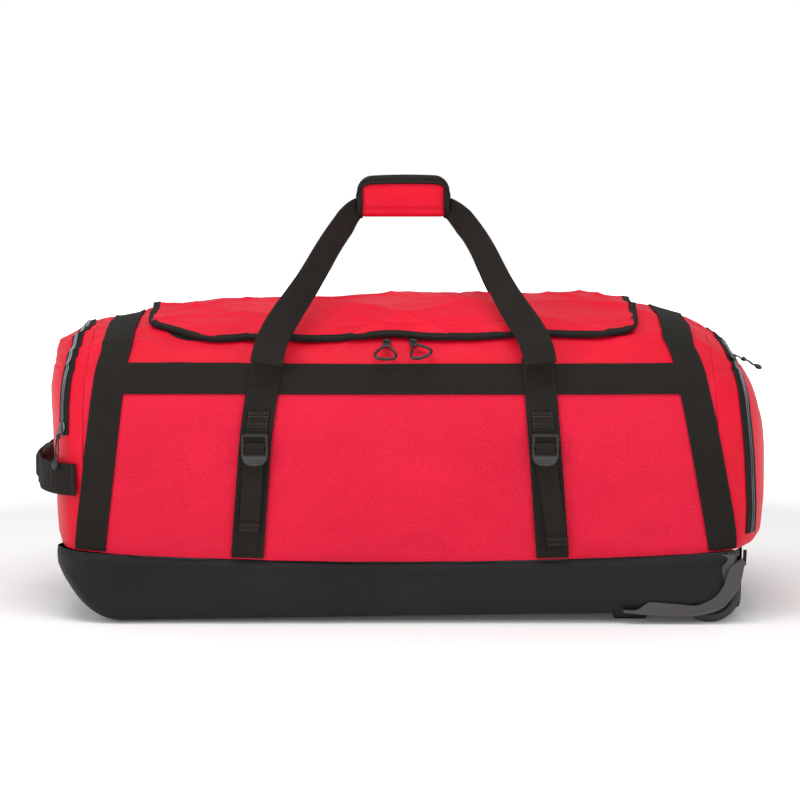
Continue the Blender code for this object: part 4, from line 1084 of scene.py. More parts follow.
# ladder-lock: two rails, three bars, and a rounded thumb tab that lifts off the cloth
def buckle(key, tag, side):
    low, high = boxOf("buckle_" + key)
    x = (low[0] + high[0]) / 2
    top = high[2]
    y0, y1 = (low[1], high[1])
    mid = (y0 + y1) / 2
    half = (high[0] - low[0]) / 2
    parts = []
    for s in (-1.0, 1.0):
        a, b = sorted((x + s * half, x + s * (half - lock["rail"])))
        parts.append(roundBox("rail", (a, y0, top - lock["railLength"]), (b, y1, top), lock["railRound"],
                              acetal))
    for drop, tall in lock["bars"]:
        zBar = top - drop
        barLow = (x - half + 0.001, mid - lock["halfBar"], zBar - tall / 2)
        barHigh = (x + half - 0.001, mid + lock["halfBar"], zBar + tall / 2)
        parts.append(roundBox("bar", barLow, barHigh, lock["barRound"], acetal))
    # the tab, bent outwards at its tip; its lighter grey material is a painted highlight
    rows = lock["tabRows"]
    cols = lock["tabSides"]
    zTab = top - lock["tabDrop"]
    reach = zTab - low[2]
    points = []
    for i in range(rows):
        s = i / (rows - 1)
        w = (half - 0.0012) * math.sqrt(max(1.0 - (s * 0.985) ** 2.6, 0.0))
        push = side * (0.0010 + 0.0026 * s ** 2)
        thin = 1.0 - 0.35 * s
        ring = []
        for k in range(cols):
            t = 2 * math.pi * k / cols
            across = w * math.copysign(abs(math.cos(t)) ** 0.6, math.cos(t))
            through = lock["tabHalf"] * math.copysign(abs(math.sin(t)) ** 0.8, math.sin(t)) * thin
            ring.append((x + across, mid + push + through, zTab - reach * s))
        points.append(ring)
    parts.append(sweep("tab", points, np.zeros((rows, cols, 2)), paintedHighlightAcetal))
    return joinPieces("buckle" + tag, parts)


tail = {"bottom": 0.0850, "width": web["narrow"] * 0.94, "thick": 0.0013,
        "shorter": {-1.0: 0.0270, 1.0: 0.0100},
        "lean": {-1.0: 0.0, 1.0: 0.0016}, "hem": 0.013}
for side, tag in depthSides:
    for sign, endTag in endSides:
        key = tag.lower() + "_" + endTag.lower()
        made = buckle(key, tag + endTag, side)
        finishPiece(made, "ladder_lock_" + key, "black_plastic", "buckle_" + key)
        low, high = boxOf("buckle_" + key)
        tailLow = boxOf("tail_" + key)[0]
        barZ = high[2] - lock["bars"][1][0]
        barY = (low[1] + high[1]) / 2
        path = []
        for z in np.linspace(tail["bottom"], barZ - 0.012, 24):
            x = strapX(sign, z)
            p = sideSkin(x, z, side, layers["tailUp"])
            path.append((x, p[1], z))
        over = [(strapX(sign, barZ), barY - side * 0.0030, barZ - 0.0055),
                (strapX(sign, barZ), barY - side * 0.0016, barZ + 0.0015),
                (strapX(sign, barZ), barY + side * 0.0010, barZ + 0.0030), (strapX(sign, barZ),
                    barY + side * 0.0032, barZ - 0.0010),
                (strapX(sign, barZ), barY + side * 0.0022, barZ - 0.0075)]
        down = []
        tailEnd = tailLow[2] + tail["shorter"][sign]
        for k, z in enumerate(np.linspace(barZ - 0.016, tailEnd, 20)):
            s = k / 19
            x = strapX(sign, z) + tail["lean"][sign] * s * 4
            p = sideSkin(x, z, side, layers["tailDown"])
            y = p[1] + side * 0.0022 * math.sin(math.pi * s) * (1 - 0.4 * s)
            if z > low[2] - 0.002:
                y = barY - side * 0.0012
            down.append((x, y, z))
        curve = spline(np.vstack([path, over, down]), 150)
        across = [1.0, 0.0, 0.0]
        made = freeTape("tail" + tag + endTag, curve, np.tile(across, (150, 1)), tail["width"],
                        tail["thick"], blackWebbing)
        # the sewn hem at the tail's end
        hem = []
        for z in np.linspace(tailEnd - 0.0004, tailEnd + tail["hem"], 12):
            last = curve[::-1][:60]
            hem.append((np.interp(z, last[:, 2], last[:, 0]), np.interp(z, last[:, 2], last[:, 1])
                        + side * tail["thick"], z))
        hem = np.array(hem)
        fold = freeTape("hem", hem, np.tile(across, (12, 1)), web["narrow"] * 0.95, 0.0014, blackWebbing)
        finishPiece(joinPieces("tail" + tag + endTag, [made, fold]), "bag", "webbing", "tail_" + key)
        for z in (tailEnd + 0.0035, tailEnd + 0.0095):
            y = np.interp(z, hem[:, 2], hem[:, 1]) + side * 0.0008
            x = np.interp(z, hem[:, 2], hem[:, 0])
            addStitches("bag", "grey", np.stack([x + np.linspace(-0.0095, 0.0095, 8), np.full(8, y),
                np.full(8, z)], -1))
print("stage: webbing and buckles")

# Lid
lidLow, lidHigh = boxOf("lid_binding")
lid = {
    "x": (lidLow[0], lidHigh[0]), "front": lidLow[1] + 0.0008, "back": lidHigh[1],
    "thick": 0.0026, "lift": 0.0034, "binding": 0.0090, "clipLeft": 0.80, "clipRight": 1.10,
        "stitchInset": 0.0235}


# front edge with its clipped corners and the wave that the zip leaves in it
def lidFront(x, inset=0.0):
    x = np.asarray(x, float)
    soft = lambda d: 0.5 * (d + np.sqrt(d * d + 0.0004))
    left = np.maximum(soft(-0.235 - x) - 0.0012, 0.0) * lid["clipLeft"]
    right = np.maximum(soft(x - 0.262) - 0.0012, 0.0) * lid["clipRight"]
    rise = 0.0015 * np.exp(-((x + 0.024) / 0.026) ** 2) - 0.0050 * np.exp(-((x - 0.060) / 0.050) ** 2)
    return lid["front"] + inset + left + right + rise + 0.0012 * np.sin(x * 38.0 + 1.0)


# how the lid stands off the body: lifted a little along its free edge
def lidLift(x, y):
    edge = np.clip((lidFront(x) + 0.05 - y) / 0.05, 0.0, 1.0)
    wave = 0.0012 * np.sin(x * 31.0) + 0.0030 * np.exp(-((x + 0.020) / 0.035) ** 2)
    return lid["lift"] + edge ** 2 * np.maximum(wave, -0.0008)


def lidPoint(x, y, up):
    x, y = np.broadcast_arrays(np.asarray(x, float), np.asarray(y, float))
    return skin(x, aAtDepth(x, y), lidLift(x, y) + up)


def lidCloth():
    cols = 200
    rows = 120
    xs = np.linspace(lid["x"][0] + 0.0062, lid["x"][1] - 0.0062, cols)
    shares = np.linspace(0.0, 1.0, rows) ** 1.15
    gridX = np.repeat(xs[:, None], rows, 1)
    gridY = lidFront(gridX, 0.0062) + (lid["back"] - lidFront(gridX, 0.0062)) * shares[None, :]
    padding = 0.0014 * np.sin(np.pi * np.clip((gridY - lidFront(gridX)) / 0.05, 0, 1)) ** 0.8
    seamGroove = 0.0011 * np.exp(-((gridY - lidFront(gridX, lid["stitchInset"])) / 0.0022) ** 2)
    upper = lidPoint(gridX, gridY, lid["thick"] + padding - seamGroove)
    lower = lidPoint(gridX, gridY, 0.0)
    uv = np.stack([gridX, gridY], -1).reshape(-1, 2)
    n = cols * rows
    faces = gridFaces(cols, rows) + [tuple(n + k for k in reversed(f)) for f in gridFaces(cols, rows)]
    rim = list(range(0, rows)) + [i * rows + rows - 1 for i in range(1, cols)]
    rim += [(cols - 1) * rows + j for j in range(rows - 2, -1, -1)] + [i * rows
        for i in range(cols - 2, 0, -1)]
    faces += [(rim[k], rim[(k + 1) % len(rim)], n + rim[(k + 1) % len(rim)], n + rim[k])
              for k in range(len(rim))]
    obj = meshObject("lidCloth", np.vstack([upper.reshape(-1, 3), lower.reshape(-1, 3)]), faces, redPlain,
                     np.vstack([uv, uv]))
    obj.data.materials.append(blackLining)
    mesh = obj.data
    for poly in mesh.polygons:
        if min(poly.vertices) >= n:
            poly.material_index = 1
    return obj


finishPiece(lidCloth(), "lid", "red_cloth", "lid_panel")

x0 = lid["x"][0] + lid["binding"] / 2
x1 = lid["x"][1] - lid["binding"] / 2
half = lid["binding"] / 2
rim = np.array(
    [(x0, y) for y in np.linspace(lid["back"], float(lidFront(x0, half)) + 0.012, 40)]
    + [(x, float(lidFront(x, half))) for x in np.linspace(x0 + 0.006, x1 - 0.006, 240)]
    + [(x1, y) for y in np.linspace(float(lidFront(x1, half)) + 0.012, lid["back"], 40)])
rim = spline(rim[::2], 420)
for _ in range(14):
    rim[1:-1] = (rim[:-2] + 2 * rim[1:-1] + rim[2:]) / 4
top = lidPoint(rim[:, 0], rim[:, 1], lid["thick"] * 0.5)
along = unit(np.gradient(top, axis=0))
upward = rawNormal(rim[:, 0], aAtDepth(rim[:, 0], rim[:, 1]))
binding = freeTape("lidBinding", top, np.cross(along, upward), lid["binding"], 0.0042, blackBinding)
finishPiece(binding, "lid", "webbing", "lid_binding")
across = unit(np.cross(along, upward))
centre = np.array([0.0, 0.0, 0.30])
if np.dot(across[200], centre - top[200]) < 0:
    across = -across
sewn = top + across * (lid["binding"] * 0.30) + upward * 0.0024
addStitches("lid", "black", sewn)
inner = np.linspace(lid["x"][0] + lid["stitchInset"], lid["x"][1] - lid["stitchInset"], 200)
innerY = lidFront(inner, lid["stitchInset"])
frontRow = lidPoint(inner, innerY, lid["thick"] + 0.0003)
leftY = np.linspace(lid["back"] - 0.004, innerY[0], 80)
leftRow = lidPoint(np.full(80, inner[0]), leftY, lid["thick"] + 0.0016)
rightRow = lidPoint(np.full(80, inner[-1]), leftY * 0 + np.linspace(innerY[-1], lid["back"] - 0.004, 80),
                    lid["thick"] + 0.0016)
addStitches("lid", "red", np.vstack([leftRow, frontRow, rightRow]))
print("stage: lid")

# Main zip


# a U round the mouth's left, front and right
def mouthPath(grow, count=420):
    xa = mouth["x"][0] - grow
    xb = mouth["x"][1] + grow
    ya = mouth["y"][0] - grow
    yb = mouth["y"][1] - 0.010
    r = mouth["corner"] + grow
    turn = np.linspace(0.0, np.pi / 2, 14)
    rows = [(xa, y) for y in np.linspace(yb, ya + r, 40)][:-1]
    rows += [(xa + r - r * math.cos(t), ya + r - r * math.sin(t)) for t in turn]
    rows += [(x, ya) for x in np.linspace(xa + r, xb - r, 80)][1:-1]
    rows += [(xb - r + r * math.sin(t), ya + r - r * math.cos(t)) for t in turn]
    rows += [(xb, y) for y in np.linspace(ya + r, yb, 40)][1:]
    return spline(np.array(rows), count)


def onTop(path, lift):
    return skin(path[:, 0], aAtDepth(path[:, 0], path[:, 1]), lift)


# a thin tape between two paths on the body's top
def flatTape(name, outer, inner, lift, thick, material):
    s = tapeProfile[:, 0]
    h = tapeProfile[:, 1]
    path = outer[:, None, :] * (0.5 - s / 2)[None, :, None] + inner[:, None, :] * (0.5 + s / 2)[None, :,
        None]
    flat = path.reshape(-1, 2)
    lifts = np.broadcast_to((lift + (h + 0.5) * thick)[None, :], path.shape[:2]).ravel()
    points = onTop(flat, lifts).reshape(path.shape[0], path.shape[1], 3)
    width = float(np.linalg.norm(outer[0] - inner[0]))
    return sweep(name, points, tapeUv(lengthsAlong(outer), width), material)


# slider sections: (place along, half width, half height)
mainSlider = [(-0.0050, 0.0022, 0.0010), (-0.0044, 0.0038, 0.0017), (-0.0015, 0.0050, 0.0020),
              (0.0020, 0.0046, 0.0020), (0.0042, 0.0034, 0.0016), (0.0048, 0.0018, 0.0009)]
mainBridge = {"reach": 0.0034, "foot": 0.0016, "rise": 0.0021, "start": 0.15, "radius": 0.0009}
pocketSlider = [(-0.0062, 0.0016, 0.0008), (-0.0056, 0.0034, 0.0015), (-0.0020, 0.0050, 0.0018),
                (0.0020, 0.0050, 0.0018), (0.0050, 0.0036, 0.0015), (0.0058, 0.0018, 0.0008)]
pocketBridge = {"reach": 0.0038, "foot": 0.0012, "rise": 0.0026, "start": 0.1, "radius": 0.0010}
teethLines = {}
bodyTape = flatTape("zipTapeBody", mouthPath(0.0110), mouthPath(0.0006), 0.0003, 0.0006, zipTape)
finishPiece(bodyTape, "bag", "zip_tape", "zip_tape_body")
lidTape = flatTape("zipTapeLid", mouthPath(-0.0006), mouthPath(-0.0110), 0.0003, 0.0006, zipTape)
finishPiece(lidTape, "lid", "zip_tape", "zip_tape_lid")
teethLines[("bag", "black")] = [onTop(mouthPath(0.0016), 0.0014)]
teethLines[("lid", "black")] = [onTop(mouthPath(-0.0016), 0.0014)]


# a closed smooth line through the points
def smoothRing(points, count):
    points = np.asarray(points)
    ring = np.vstack([points, points[:1]])
    lengths = lengthsAlong(ring)
    t = np.linspace(0, lengths[-1], count, endpoint=False)
    even = np.stack([np.interp(t, lengths, ring[:, k]) for k in range(3)], -1)
    for _ in range(3):
        even = (np.roll(even, 1, 0) + 2 * even + np.roll(even, -1, 0)) / 4
    return even


mainPull = {
    "tilt": {-1.0: 0.06, 1.0: -0.42}, "halfWidth": 0.0182, "start": 0.0070, "halfLength": 0.0118,
    "cord": 0.00180, "rootRise": 0.0062, "rootDrop": 0.0010, "eye": 0.0042, "eyeCord": 0.0011}


# slider: a rounded wedge body with a bridge over it; the glossy teardrop ring hanging from it by a small
# eye and a knot is made in zipPull
def zipSlider(name, at, along, wide, up, sections, arch, material):
    rows = []
    turn = fullTurn(20)
    across = np.sign(np.cos(turn)) * np.abs(np.cos(turn)) ** 0.55
    through = np.sign(np.sin(turn)) * np.abs(np.sin(turn)) ** 0.55
    for d, halfWide, halfTall in sections:
        rows.append(at + along * d + wide * (across * halfWide)[:, None] + up * (through * halfTall)[:,
            None])
    body = sweep("body", rows, np.zeros((6, 20, 2)), material)
    arc = [at + along * (arch["reach"] * math.cos(t)) + up * (arch["foot"] + arch["rise"] * math.sin(t))
           for t in np.linspace(arch["start"], math.pi - arch["start"], 14)]
    return joinPieces(name, [body, roundTube("bridge", arc, arch["radius"], material, 10)])


def zipPull(tag, sign):
    sliderLow, sliderHigh = boxOf("zip_slider_" + tag.lower())
    x = (sliderLow[0] + sliderHigh[0]) / 2
    a = float(aAtDepth(x, (sliderLow[1] + sliderHigh[1]) / 2 + 0.0012))
    up = rawNormal(x, a)
    down = np.cross(up, [1.0, 0.0, 0.0])
    down = down if down[2] < 0 else -down
    down = unit(down)
    right = np.cross(down, up)
    root = rawSkin(x, a) + up * mainPull["rootRise"] + down * mainPull["rootDrop"]
    tilt = mainPull["tilt"][sign]
    t = fullTurn(48)
    w = mainPull["halfWidth"] * np.sin(t) * (0.60 - 0.40 * np.cos(t))
    d = mainPull["start"] + mainPull["halfLength"] * (1.0 - np.cos(t))
    ww = w * math.cos(tilt) + d * math.sin(tilt)
    dd = d * math.cos(tilt) - w * math.sin(tilt)
    ring = root + right * ww[:, None] + down * dd[:, None] + up * (0.0008 + 0.0010 * np.sin(t / 2) ** 2)[:,
        None]
    ring = smoothRing(ring, 72)
    loop = roundTube("loop", ring, mainPull["cord"], glossCord, 14, True, 0.9)
    small = fullTurn(32)
    tab = [root + right * (mainPull["eye"] * math.sin(q)) + down * (0.0030 - mainPull["eye"] * math.cos(q))
           + up * 0.0006 for q in small]
    eye = roundTube("eye", tab, mainPull["eyeCord"], glossCord, 10, True)
    neckLine = [root + down * q + right * (q * math.sin(tilt)) + up * 0.0007
                for q in np.linspace(0.0062, 0.0098, 8)]
    neckRadius = [0.0010, 0.0017, 0.0019, 0.0018, 0.0018, 0.0019, 0.0017, 0.0009]
    knot = joinPieces("tab", [eye, roundTube("neck", neckLine, neckRadius, glossCord, 12)])
    made = joinPieces("zipPull" + tag, [loop, knot])
    # slider: rounded wedge body with a bridge over it
    at = rawSkin(x, a) + up * 0.0034
    slider = zipSlider("zipSlider" + tag, at, down, right, up, mainSlider, mainBridge, acetal)
    return made, slider


for sign, tag in endSides:
    pull, slider = zipPull(tag, sign)
    finishPiece(pull, "main_pull_" + tag.lower(), "black_plastic", "zip_pull_" + tag.lower())
    finishPiece(slider, "main_slider_" + tag.lower(), "black_plastic", "zip_slider_" + tag.lower())

# Pocket zips
pocketZip = {"low": {-1.0: 0.36, 1.0: 0.05}, "slider": {-1.0: 0.385, 1.0: 0.70}, "width": 0.0160,
             "sliderReach": 0.0085}


def pocketZipX(sign, a):
    b = np.where(a <= 1.0, a, 2.0 - a)
    if sign < 0:
        return -(0.3880 + 0.0150 * np.maximum(1.0 - b / 0.95, 0.0) ** 0.7)
    return 0.3920 + 0.0330 * np.maximum(1.0 - b / 0.95, 0.0) ** 0.7


pocketPull = {
    "hang": {-1.0: (-0.10, -0.14, -1.0), 1.0: (0.80, -0.45, -0.42)}, "size": {-1.0: 1.0, 1.0: 0.72},
    "rise": 0.0036, "ringReach": 0.0045, "ringHalf": 0.0024, "knot": 0.0105, "tip": 0.0365, "cord": 0.00095,
    "dropLength": 0.0155, "dropRadius": 0.0036}


# metal ring, two knots, a folded cord and a moulded drop
def pocketPullPiece(name, sign, at, up):
    pull = pocketPull
    root = at + up * pull["rise"]
    hang = unit(np.array(pull["hang"][sign]))
    out = unit(up - hang * np.dot(up, hang))
    wide = np.cross(hang, out)
    size = pull["size"][sign]
    lift = out * 0.0010
    ring = [root + hang * (pull["ringReach"] * (1.0 - math.cos(t))) + wide * pull["ringHalf"] * math.sin(t)
            + out * 0.0006
            for t in fullTurn(36)]
    parts = [roundTube("tab", smoothRing(ring, 40), 0.0009, gunmetal, 10, True)]
    knotAt = root + hang * pull["knot"] + lift
    for down, w, o, h, r in ((0.0, 0.0020, 0.0016, 0.0011, 0.0013),
                             (0.0022, 0.0017, 0.0014, 0.0008, 0.0011)):
        swing = np.sin if down == 0.0 else np.cos
        knot = [knotAt + hang * down + wide * (w * math.cos(q)) + out * (o * math.sin(q))
                + hang * (h * swing(2 * q))
                for q in fullTurn(40)]
        parts.append(roundTube("knot", knot, r, glossCord, 10, True))
    tipAt = pull["tip"] * size
    for s in (-1.0, 1.0):
        line = []
        for q in np.linspace(0, 1, 30):
            sway = s * (0.0008 + 0.0020 * math.sin(math.pi * q)) + 0.0007 * math.sin(q * 6 + 1 + s)
            line.append(knotAt + hang * (q * (tipAt - pull["knot"])) + wide * sway
                        + out * (0.0006 * math.sin(q * 5)))
        parts.append(roundTube("cord", line, pull["cord"], glossCord, 9))
    drop = []
    turn = fullTurn(22)
    for q in np.linspace(0, 1, 22):
        r = 0.0013 + pull["dropRadius"] * math.sin(math.pi * min(q ** 1.3,
            1)) ** 0.8 if 0 < q < 1 else 0.0006
        c = root + hang * (tipAt - 0.001 + pull["dropLength"] * size * q) + lift
        drop.append(c + wide * (r * np.cos(turn))[:, None] + out * (r * 0.62 * np.sin(turn))[:, None])
    parts.append(sweep("drop", drop, np.zeros((22, 22, 2)), acetal))
    return joinPieces(name, parts)


for sign, tag in endSides:
    start = pocketZip["low"][sign]
    aas = np.linspace(start, 2.0 - start, 320)
    xs = pocketZipX(sign, aas)
    zipper = skinTape("pocketZip" + tag, xs, aas, pocketZip["width"] / 2, 0.0, pocketZip["width"], 0.0006,
                      0.0009, zipTape)
    finishPiece(zipper, "bag", "zip_tape", "pocket_zip_" + tag.lower())
    for s in (-0.0013, 0.0013):
        teethLines.setdefault(("bag", "grey"), []).append(skin(xs + s - sign * -0.0020, aas, 0.0019))
    for s in (-0.0068, 0.0068):
        addStitches("bag", "black", skin(xs + s, aas, 0.0016))
    low = tag.lower()
    sLow, sHigh = boxOf("pocket_slider_" + low)
    at = (sLow + sHigh) / 2
    a = pocketZip["slider"][sign]
    x = float(pocketZipX(sign, a))
    up = rawNormal(x, a)
    along = unit(rawSkin(pocketZipX(sign, a - 0.02), a - 0.02) - rawSkin(x, a))
    wide = np.cross(along, up)
    # the slider rides on the cloth, which hangs a little inside the body there
    at = at + np.clip(skin(x, a, 0.0030) - at, -pocketZip["sliderReach"], pocketZip["sliderReach"])
    slider = zipSlider("pocketSlider" + tag, at, along, wide, up, pocketSlider, pocketBridge, gunmetal)
    finishPiece(slider, "side_slider_" + low, "gunmetal", "pocket_slider_" + low)
    finishPiece(pocketPullPiece("pocketPull" + tag, sign, at, up), "side_pull_" + low, "black_plastic",
                "pocket_pull_" + low)
print("stage: zips")

# Carry handles and their wrap
wrapLow, wrapHigh = boxOf("wrap_back")
wrap = {"x": (wrapLow[0], wrapHigh[0]), "z": (wrapLow[2], wrapHigh[2]), "y": wrapHigh[1], "corner": 0.0185}
rightLeg = [
    (0.1635, 0.2050, 0.3105, 1.0, 0.0, 0.0), (0.1601, 0.1990, 0.3250, 0.97, -0.16, 0.17), (0.1514, 0.1850,
        0.3450, 0.90, -0.34, 0.26),
    (0.1335, 0.1540, 0.3750, 0.78, -0.46, 0.36), (0.1155, 0.1180, 0.4080, 0.70, -0.52, 0.42), (0.0990,
        0.0830, 0.4380, 0.60, -0.50, 0.52),
    (0.0825, 0.0480, 0.4640, 0.44, -0.36, 0.70), (0.0690, 0.0240, 0.4800, 0.36, -0.14, 0.86), (0.0590,
        0.0095, 0.4872, 0.14, 0.0, 0.98),
    (0.0480, 0.0055, 0.4895, 0.0, 0.0, 1.0), (0.0300, 0.0055, 0.4900, 0.0, 0.0, 1.0)]
leftX = [0.1557, 0.1519, 0.1442, 0.1276, 0.1060, 0.0870, 0.0705, 0.0600, 0.0510, 0.0410, 0.0300]
leftLeg = [(x,) + row[1:] for x, row in zip(leftX, rightLeg)]


def carryHandle(tag, side):
    left = [(-x, side * y, z, -wx, side * -wy, wz) for x, y, z, wx, wy, wz in leftLeg]
    right = [(x, side * y, z, wx, side * -wy, wz) for x, y, z, wx, wy, wz in reversed(rightLeg)]
    rows = np.array(left + right)
    for k in range(1, len(rows)):
        if np.dot(rows[k, 3:], rows[k - 1, 3:]) < 0:
            rows[k, 3:] *= -1
    curve = spline(rows, 260)
    height = curve[:, 2]
    width = web["wide"] * (1.0 - 0.10 * np.clip((height - 0.33) / 0.08, 0, 1)
                           - 0.26 * np.clip((height - 0.470) / 0.018, 0, 1))
    curve[:, 0] += 0.0012 * np.sin(height * 60.0) * np.sign(curve[:, 0])
    made = freeTape("handle" + tag, curve[:, :3], curve[:, 3:], width, 0.0019, blackWebbing)
    centres = curve[:, :3]
    along = unit(np.gradient(centres, axis=0))
    wides = unit(curve[:, 3:] - along * np.sum(curve[:, 3:] * along, -1, keepdims=True))
    n = np.cross(along, wides)
    free = height < wrap["z"][0] + 0.004
    for s in (-0.43, 0.43):
        for d in (-0.00105, 0.00105):
            row = centres + wides * (s * width)[:, None] + n * d
            for part in (row[:130][free[:130]], row[130:][free[130:]]):
                if len(part) > 3:
                    addStitches("handle_" + tag.lower() + "_body", "black", part)
    return made


# a closed rounded block to be swollen by the cloth solver
def padCage(name, x0, x1, y0, y1, z0, z1, side, material):
    return roundBox(name, (x0, min(side * y0, side * y1), z0), (x1, max(side * y0, side * y1), z1),
                    min(0.0075, (y1 - y0) * 0.45), material, 4)


# swells a padded piece under inner pressure, its held side kept still
def plumped(obj, push, holdPlane, voxel, pressure):
    work = obj.modifiers.new("remesh", "REMESH")
    work.mode = "VOXEL"
    work.voxel_size = voxel
    work.use_smooth_shade = True
    frozen(obj)
    mesh = obj.data
    before = pointsOf(mesh)
    held = holdPlane(before)
    group = obj.vertex_groups.new(name="held")
    for k in np.nonzero(held)[0]:
        group.add([int(k)], 1.0, "REPLACE")
    cloth = obj.modifiers.new("cloth", "CLOTH")
    settings = cloth.settings
    settings.quality = 6
    settings.mass = 0.2
    settings.tension_stiffness = 12
    settings.compression_stiffness = 12
    settings.shear_stiffness = 6
    settings.bending_stiffness = 0.4
    settings.use_pressure = True
    settings.uniform_pressure_force = pressure
    settings.vertex_group_mass = "held"
    settings.effector_weights.gravity = 0.0
    cloth.collision_settings.use_collision = False
    cloth.collision_settings.use_self_collision = False
    cloth.point_cache.frame_start = 1
    cloth.point_cache.frame_end = 20
    for frameNumber in range(1, 21):
        bpy.context.scene.frame_set(frameNumber)
    graph = bpy.context.evaluated_depsgraph_get()
    solved = obj.evaluated_get(graph).to_mesh()
    after = pointsOf(solved)
    obj.modifiers.clear()
    bpy.context.scene.frame_set(1)
    move = after - before
    size = np.linalg.norm(move, axis=1, keepdims=True)
    move = move * np.minimum(1.0, push / np.maximum(size, 1e-9))
    bad = ~np.isfinite(move).all(1)
    move[bad] = 0
    mesh.vertices.foreach_set("co", (before + move).astype(np.float32).ravel())
    obj.vertex_groups.clear()
    withModifier(obj, "SUBSURF", levels=1, render_levels=1)
    return smoothShaded(frozen(obj))


# UVs in metres taken from the side that each face looks to
def boxUv(obj):
    mesh = obj.data
    layer = mesh.uv_layers.get("metres") or mesh.uv_layers.new(name="metres")
    for poly in mesh.polygons:
        n = poly.normal
        k = max(range(3), key=lambda m: abs(n[m]))
        pair = [(1, 2), (0, 2), (0, 1)][k]
        for loop in poly.loop_indices:
            co = mesh.vertices[mesh.loops[loop].vertex_index].co
            layer.data[loop].uv = (co[pair[0]], co[pair[1]])
    return obj


# the wrap's top corners are round and its top edge bows: heights sink towards the ends
def wrapRounded(points):
    x0, x1 = wrap["x"]
    z0, z1 = wrap["z"]
    middle = (x0 + x1) / 2
    half = (x1 - x0) / 2
    r = wrap["corner"]
    over = np.clip(np.abs(points[:, 0] - middle) - (half - r), 0.0, r)
    sink = r - np.sqrt(np.maximum(r * r - over * over, 0.0)) + 0.0022 * ((points[:, 0] - middle - 0.004)
        / half) ** 2
    share = np.clip((points[:, 2] - z0) / (z1 - z0), 0.0, 1.0)
    points[:, 2] -= sink * share
    return points


def wrapPad(side):
    x0, x1 = wrap["x"]
    z0, z1 = wrap["z"]
    pad = padCage("pad", x0 + 0.003, x1 - 0.003, 0.0008, wrap["y"] - 0.0035, z0 + 0.0015, z1 - 0.0030, side,
                  redPlain)
    still = lambda p: (np.abs(p[:, 1]) < 0.004) | (p[:, 0] < x0 + 0.0065) | (p[:, 0] > x1 - 0.0065)
    plumped(pad, 0.0032, still, 0.0032, 5.0)

    def folded(p):
        share = np.clip((np.abs(p[:, 1]) - 0.006) / 0.008, 0, 1)
        fold = 0.0013 * np.exp(-((p[:, 2] - z0 - 0.011) / 0.0028) ** 2)
        bump = 0.0010 * billow(p[:, 0] * 34 + 3, p[:, 2] * 30 + 1, 2)
        p[:, 1] += side * share * (bump - fold)
        p[:, 1] = np.where(side * p[:, 1] < 0.0005, side * 0.0005, p[:, 1])
        return wrapRounded(p)

    return boxUv(reshaped(pad, folded))


# black binding along the wrap's two ends and its top edge, and the fold's nub
def wrapBinding(tag, side):
    x0, x1 = wrap["x"]
    z0, z1 = wrap["z"]
    y0 = side * 0.0012
    y1 = side * (wrap["y"] - 0.0016)
    parts = []
    for x, lean in ((x0 + 0.0034, -1.0), (x1 - 0.0034, 1.0)):
        loop = []
        for t in np.linspace(0, 1, 40):
            angle = t * math.pi
            zz = (z0 + z1) / 2 - 0.0006 - (z1 - z0 - 0.0036) / 2 * math.cos(angle)
            bow = abs(math.sin(angle)) ** 0.35
            loop.append((x + lean * 0.0004 * math.sin(angle * 3), y0 + (y1 - y0) * bow, zz))
        loop = np.array(loop)
        parts.append(freeTape("edge", loop, np.tile([1.0, 0.0, 0.0], (40, 1)), 0.0078, 0.0028,
                              blackBinding))
    for depth, height, tilt in ((0.0095, -0.0014, -0.35), (wrap["y"] - 0.0046, -0.0046, -1.2)):
        top = np.array([(x, side * depth, z1 + height) for x in np.linspace(x0 + 0.0005, x1 - 0.0005, 60)])
        parts.append(freeTape("top", top, np.tile([0.0, side, tilt], (60, 1)), 0.0112, 0.0028,
                              blackBinding))
    return reshaped(joinPieces("wrapBinding" + tag, parts), wrapRounded)


for side, tag in depthSides:
    low = tag.lower()
    finishPiece(carryHandle(tag, side), "handle_" + low + "_body", "webbing", "handle_" + low)
    pad = wrapPad(side)
    pad.name = "wrapPad" + tag
    finishPiece(pad, "handle_" + low + "_body", "red_cloth", "wrap_" + low)
    finishPiece(wrapBinding(tag, side), "handle_" + low + "_body", "webbing")
print("stage: carry handles")

# Haul handle
gripLow, gripHigh = boxOf("haul_grip")
haulLow, haulHigh = boxOf("haul_strap")
haul = {"z": (haulLow[2] + haulHigh[2]) / 2, "x": -0.4430, "width": haulHigh[2] - haulLow[2]}


def haulStrap():
    half = []
    for x in (0.3800, 0.3920, 0.4040, 0.4150, 0.4240):
        a = float(aAtHeight(-x, haul["z"], -1.0))
        p = rawSkin(-x, a) + rawNormal(-x, a) * (0.0042 + 0.10 * (x - 0.38))
        half.append((p[0], p[1]))
    half += [(-0.4385, -0.0800), (-0.4430, -0.0620)]
    plan = half + [(haul["x"], 0.0)] + [(x, -y) for x, y in reversed(half)]
    curve = spline(np.array([(x, y, haul["z"]) for x, y in plan]), 200)
    made = freeTape("haulStrap", curve, np.tile([0.0, 0.0, 1.0], (200, 1)), haul["width"], 0.0017,
                    blackWebbing)
    along = unit(np.gradient(curve, axis=0))
    n = np.cross(along, [0.0, 0.0, 1.0])
    n = n * np.sign(np.sum(n * (curve - np.array([-0.38, 0, haul["z"]])), -1, keepdims=True))
    out = curve + n * 0.00105
    for s in (-0.43, 0.43):
        for part in (out[:55], out[-55:]):
            addStitches("haul_handle", "black", part + np.array([0, 0, s * haul["width"]]))
    for part in (out[:26], out[-26:]):
        for k in (2, 20):
            at = part[k] if part is not out[-26:] else part[-k]
            line = np.stack([np.full(10, at[0]), np.full(10, at[1]),
                             haul["z"] + np.linspace(-0.43, 0.43, 10) * haul["width"]], -1)
            addStitches("haul_handle", "grey", line)
    return made


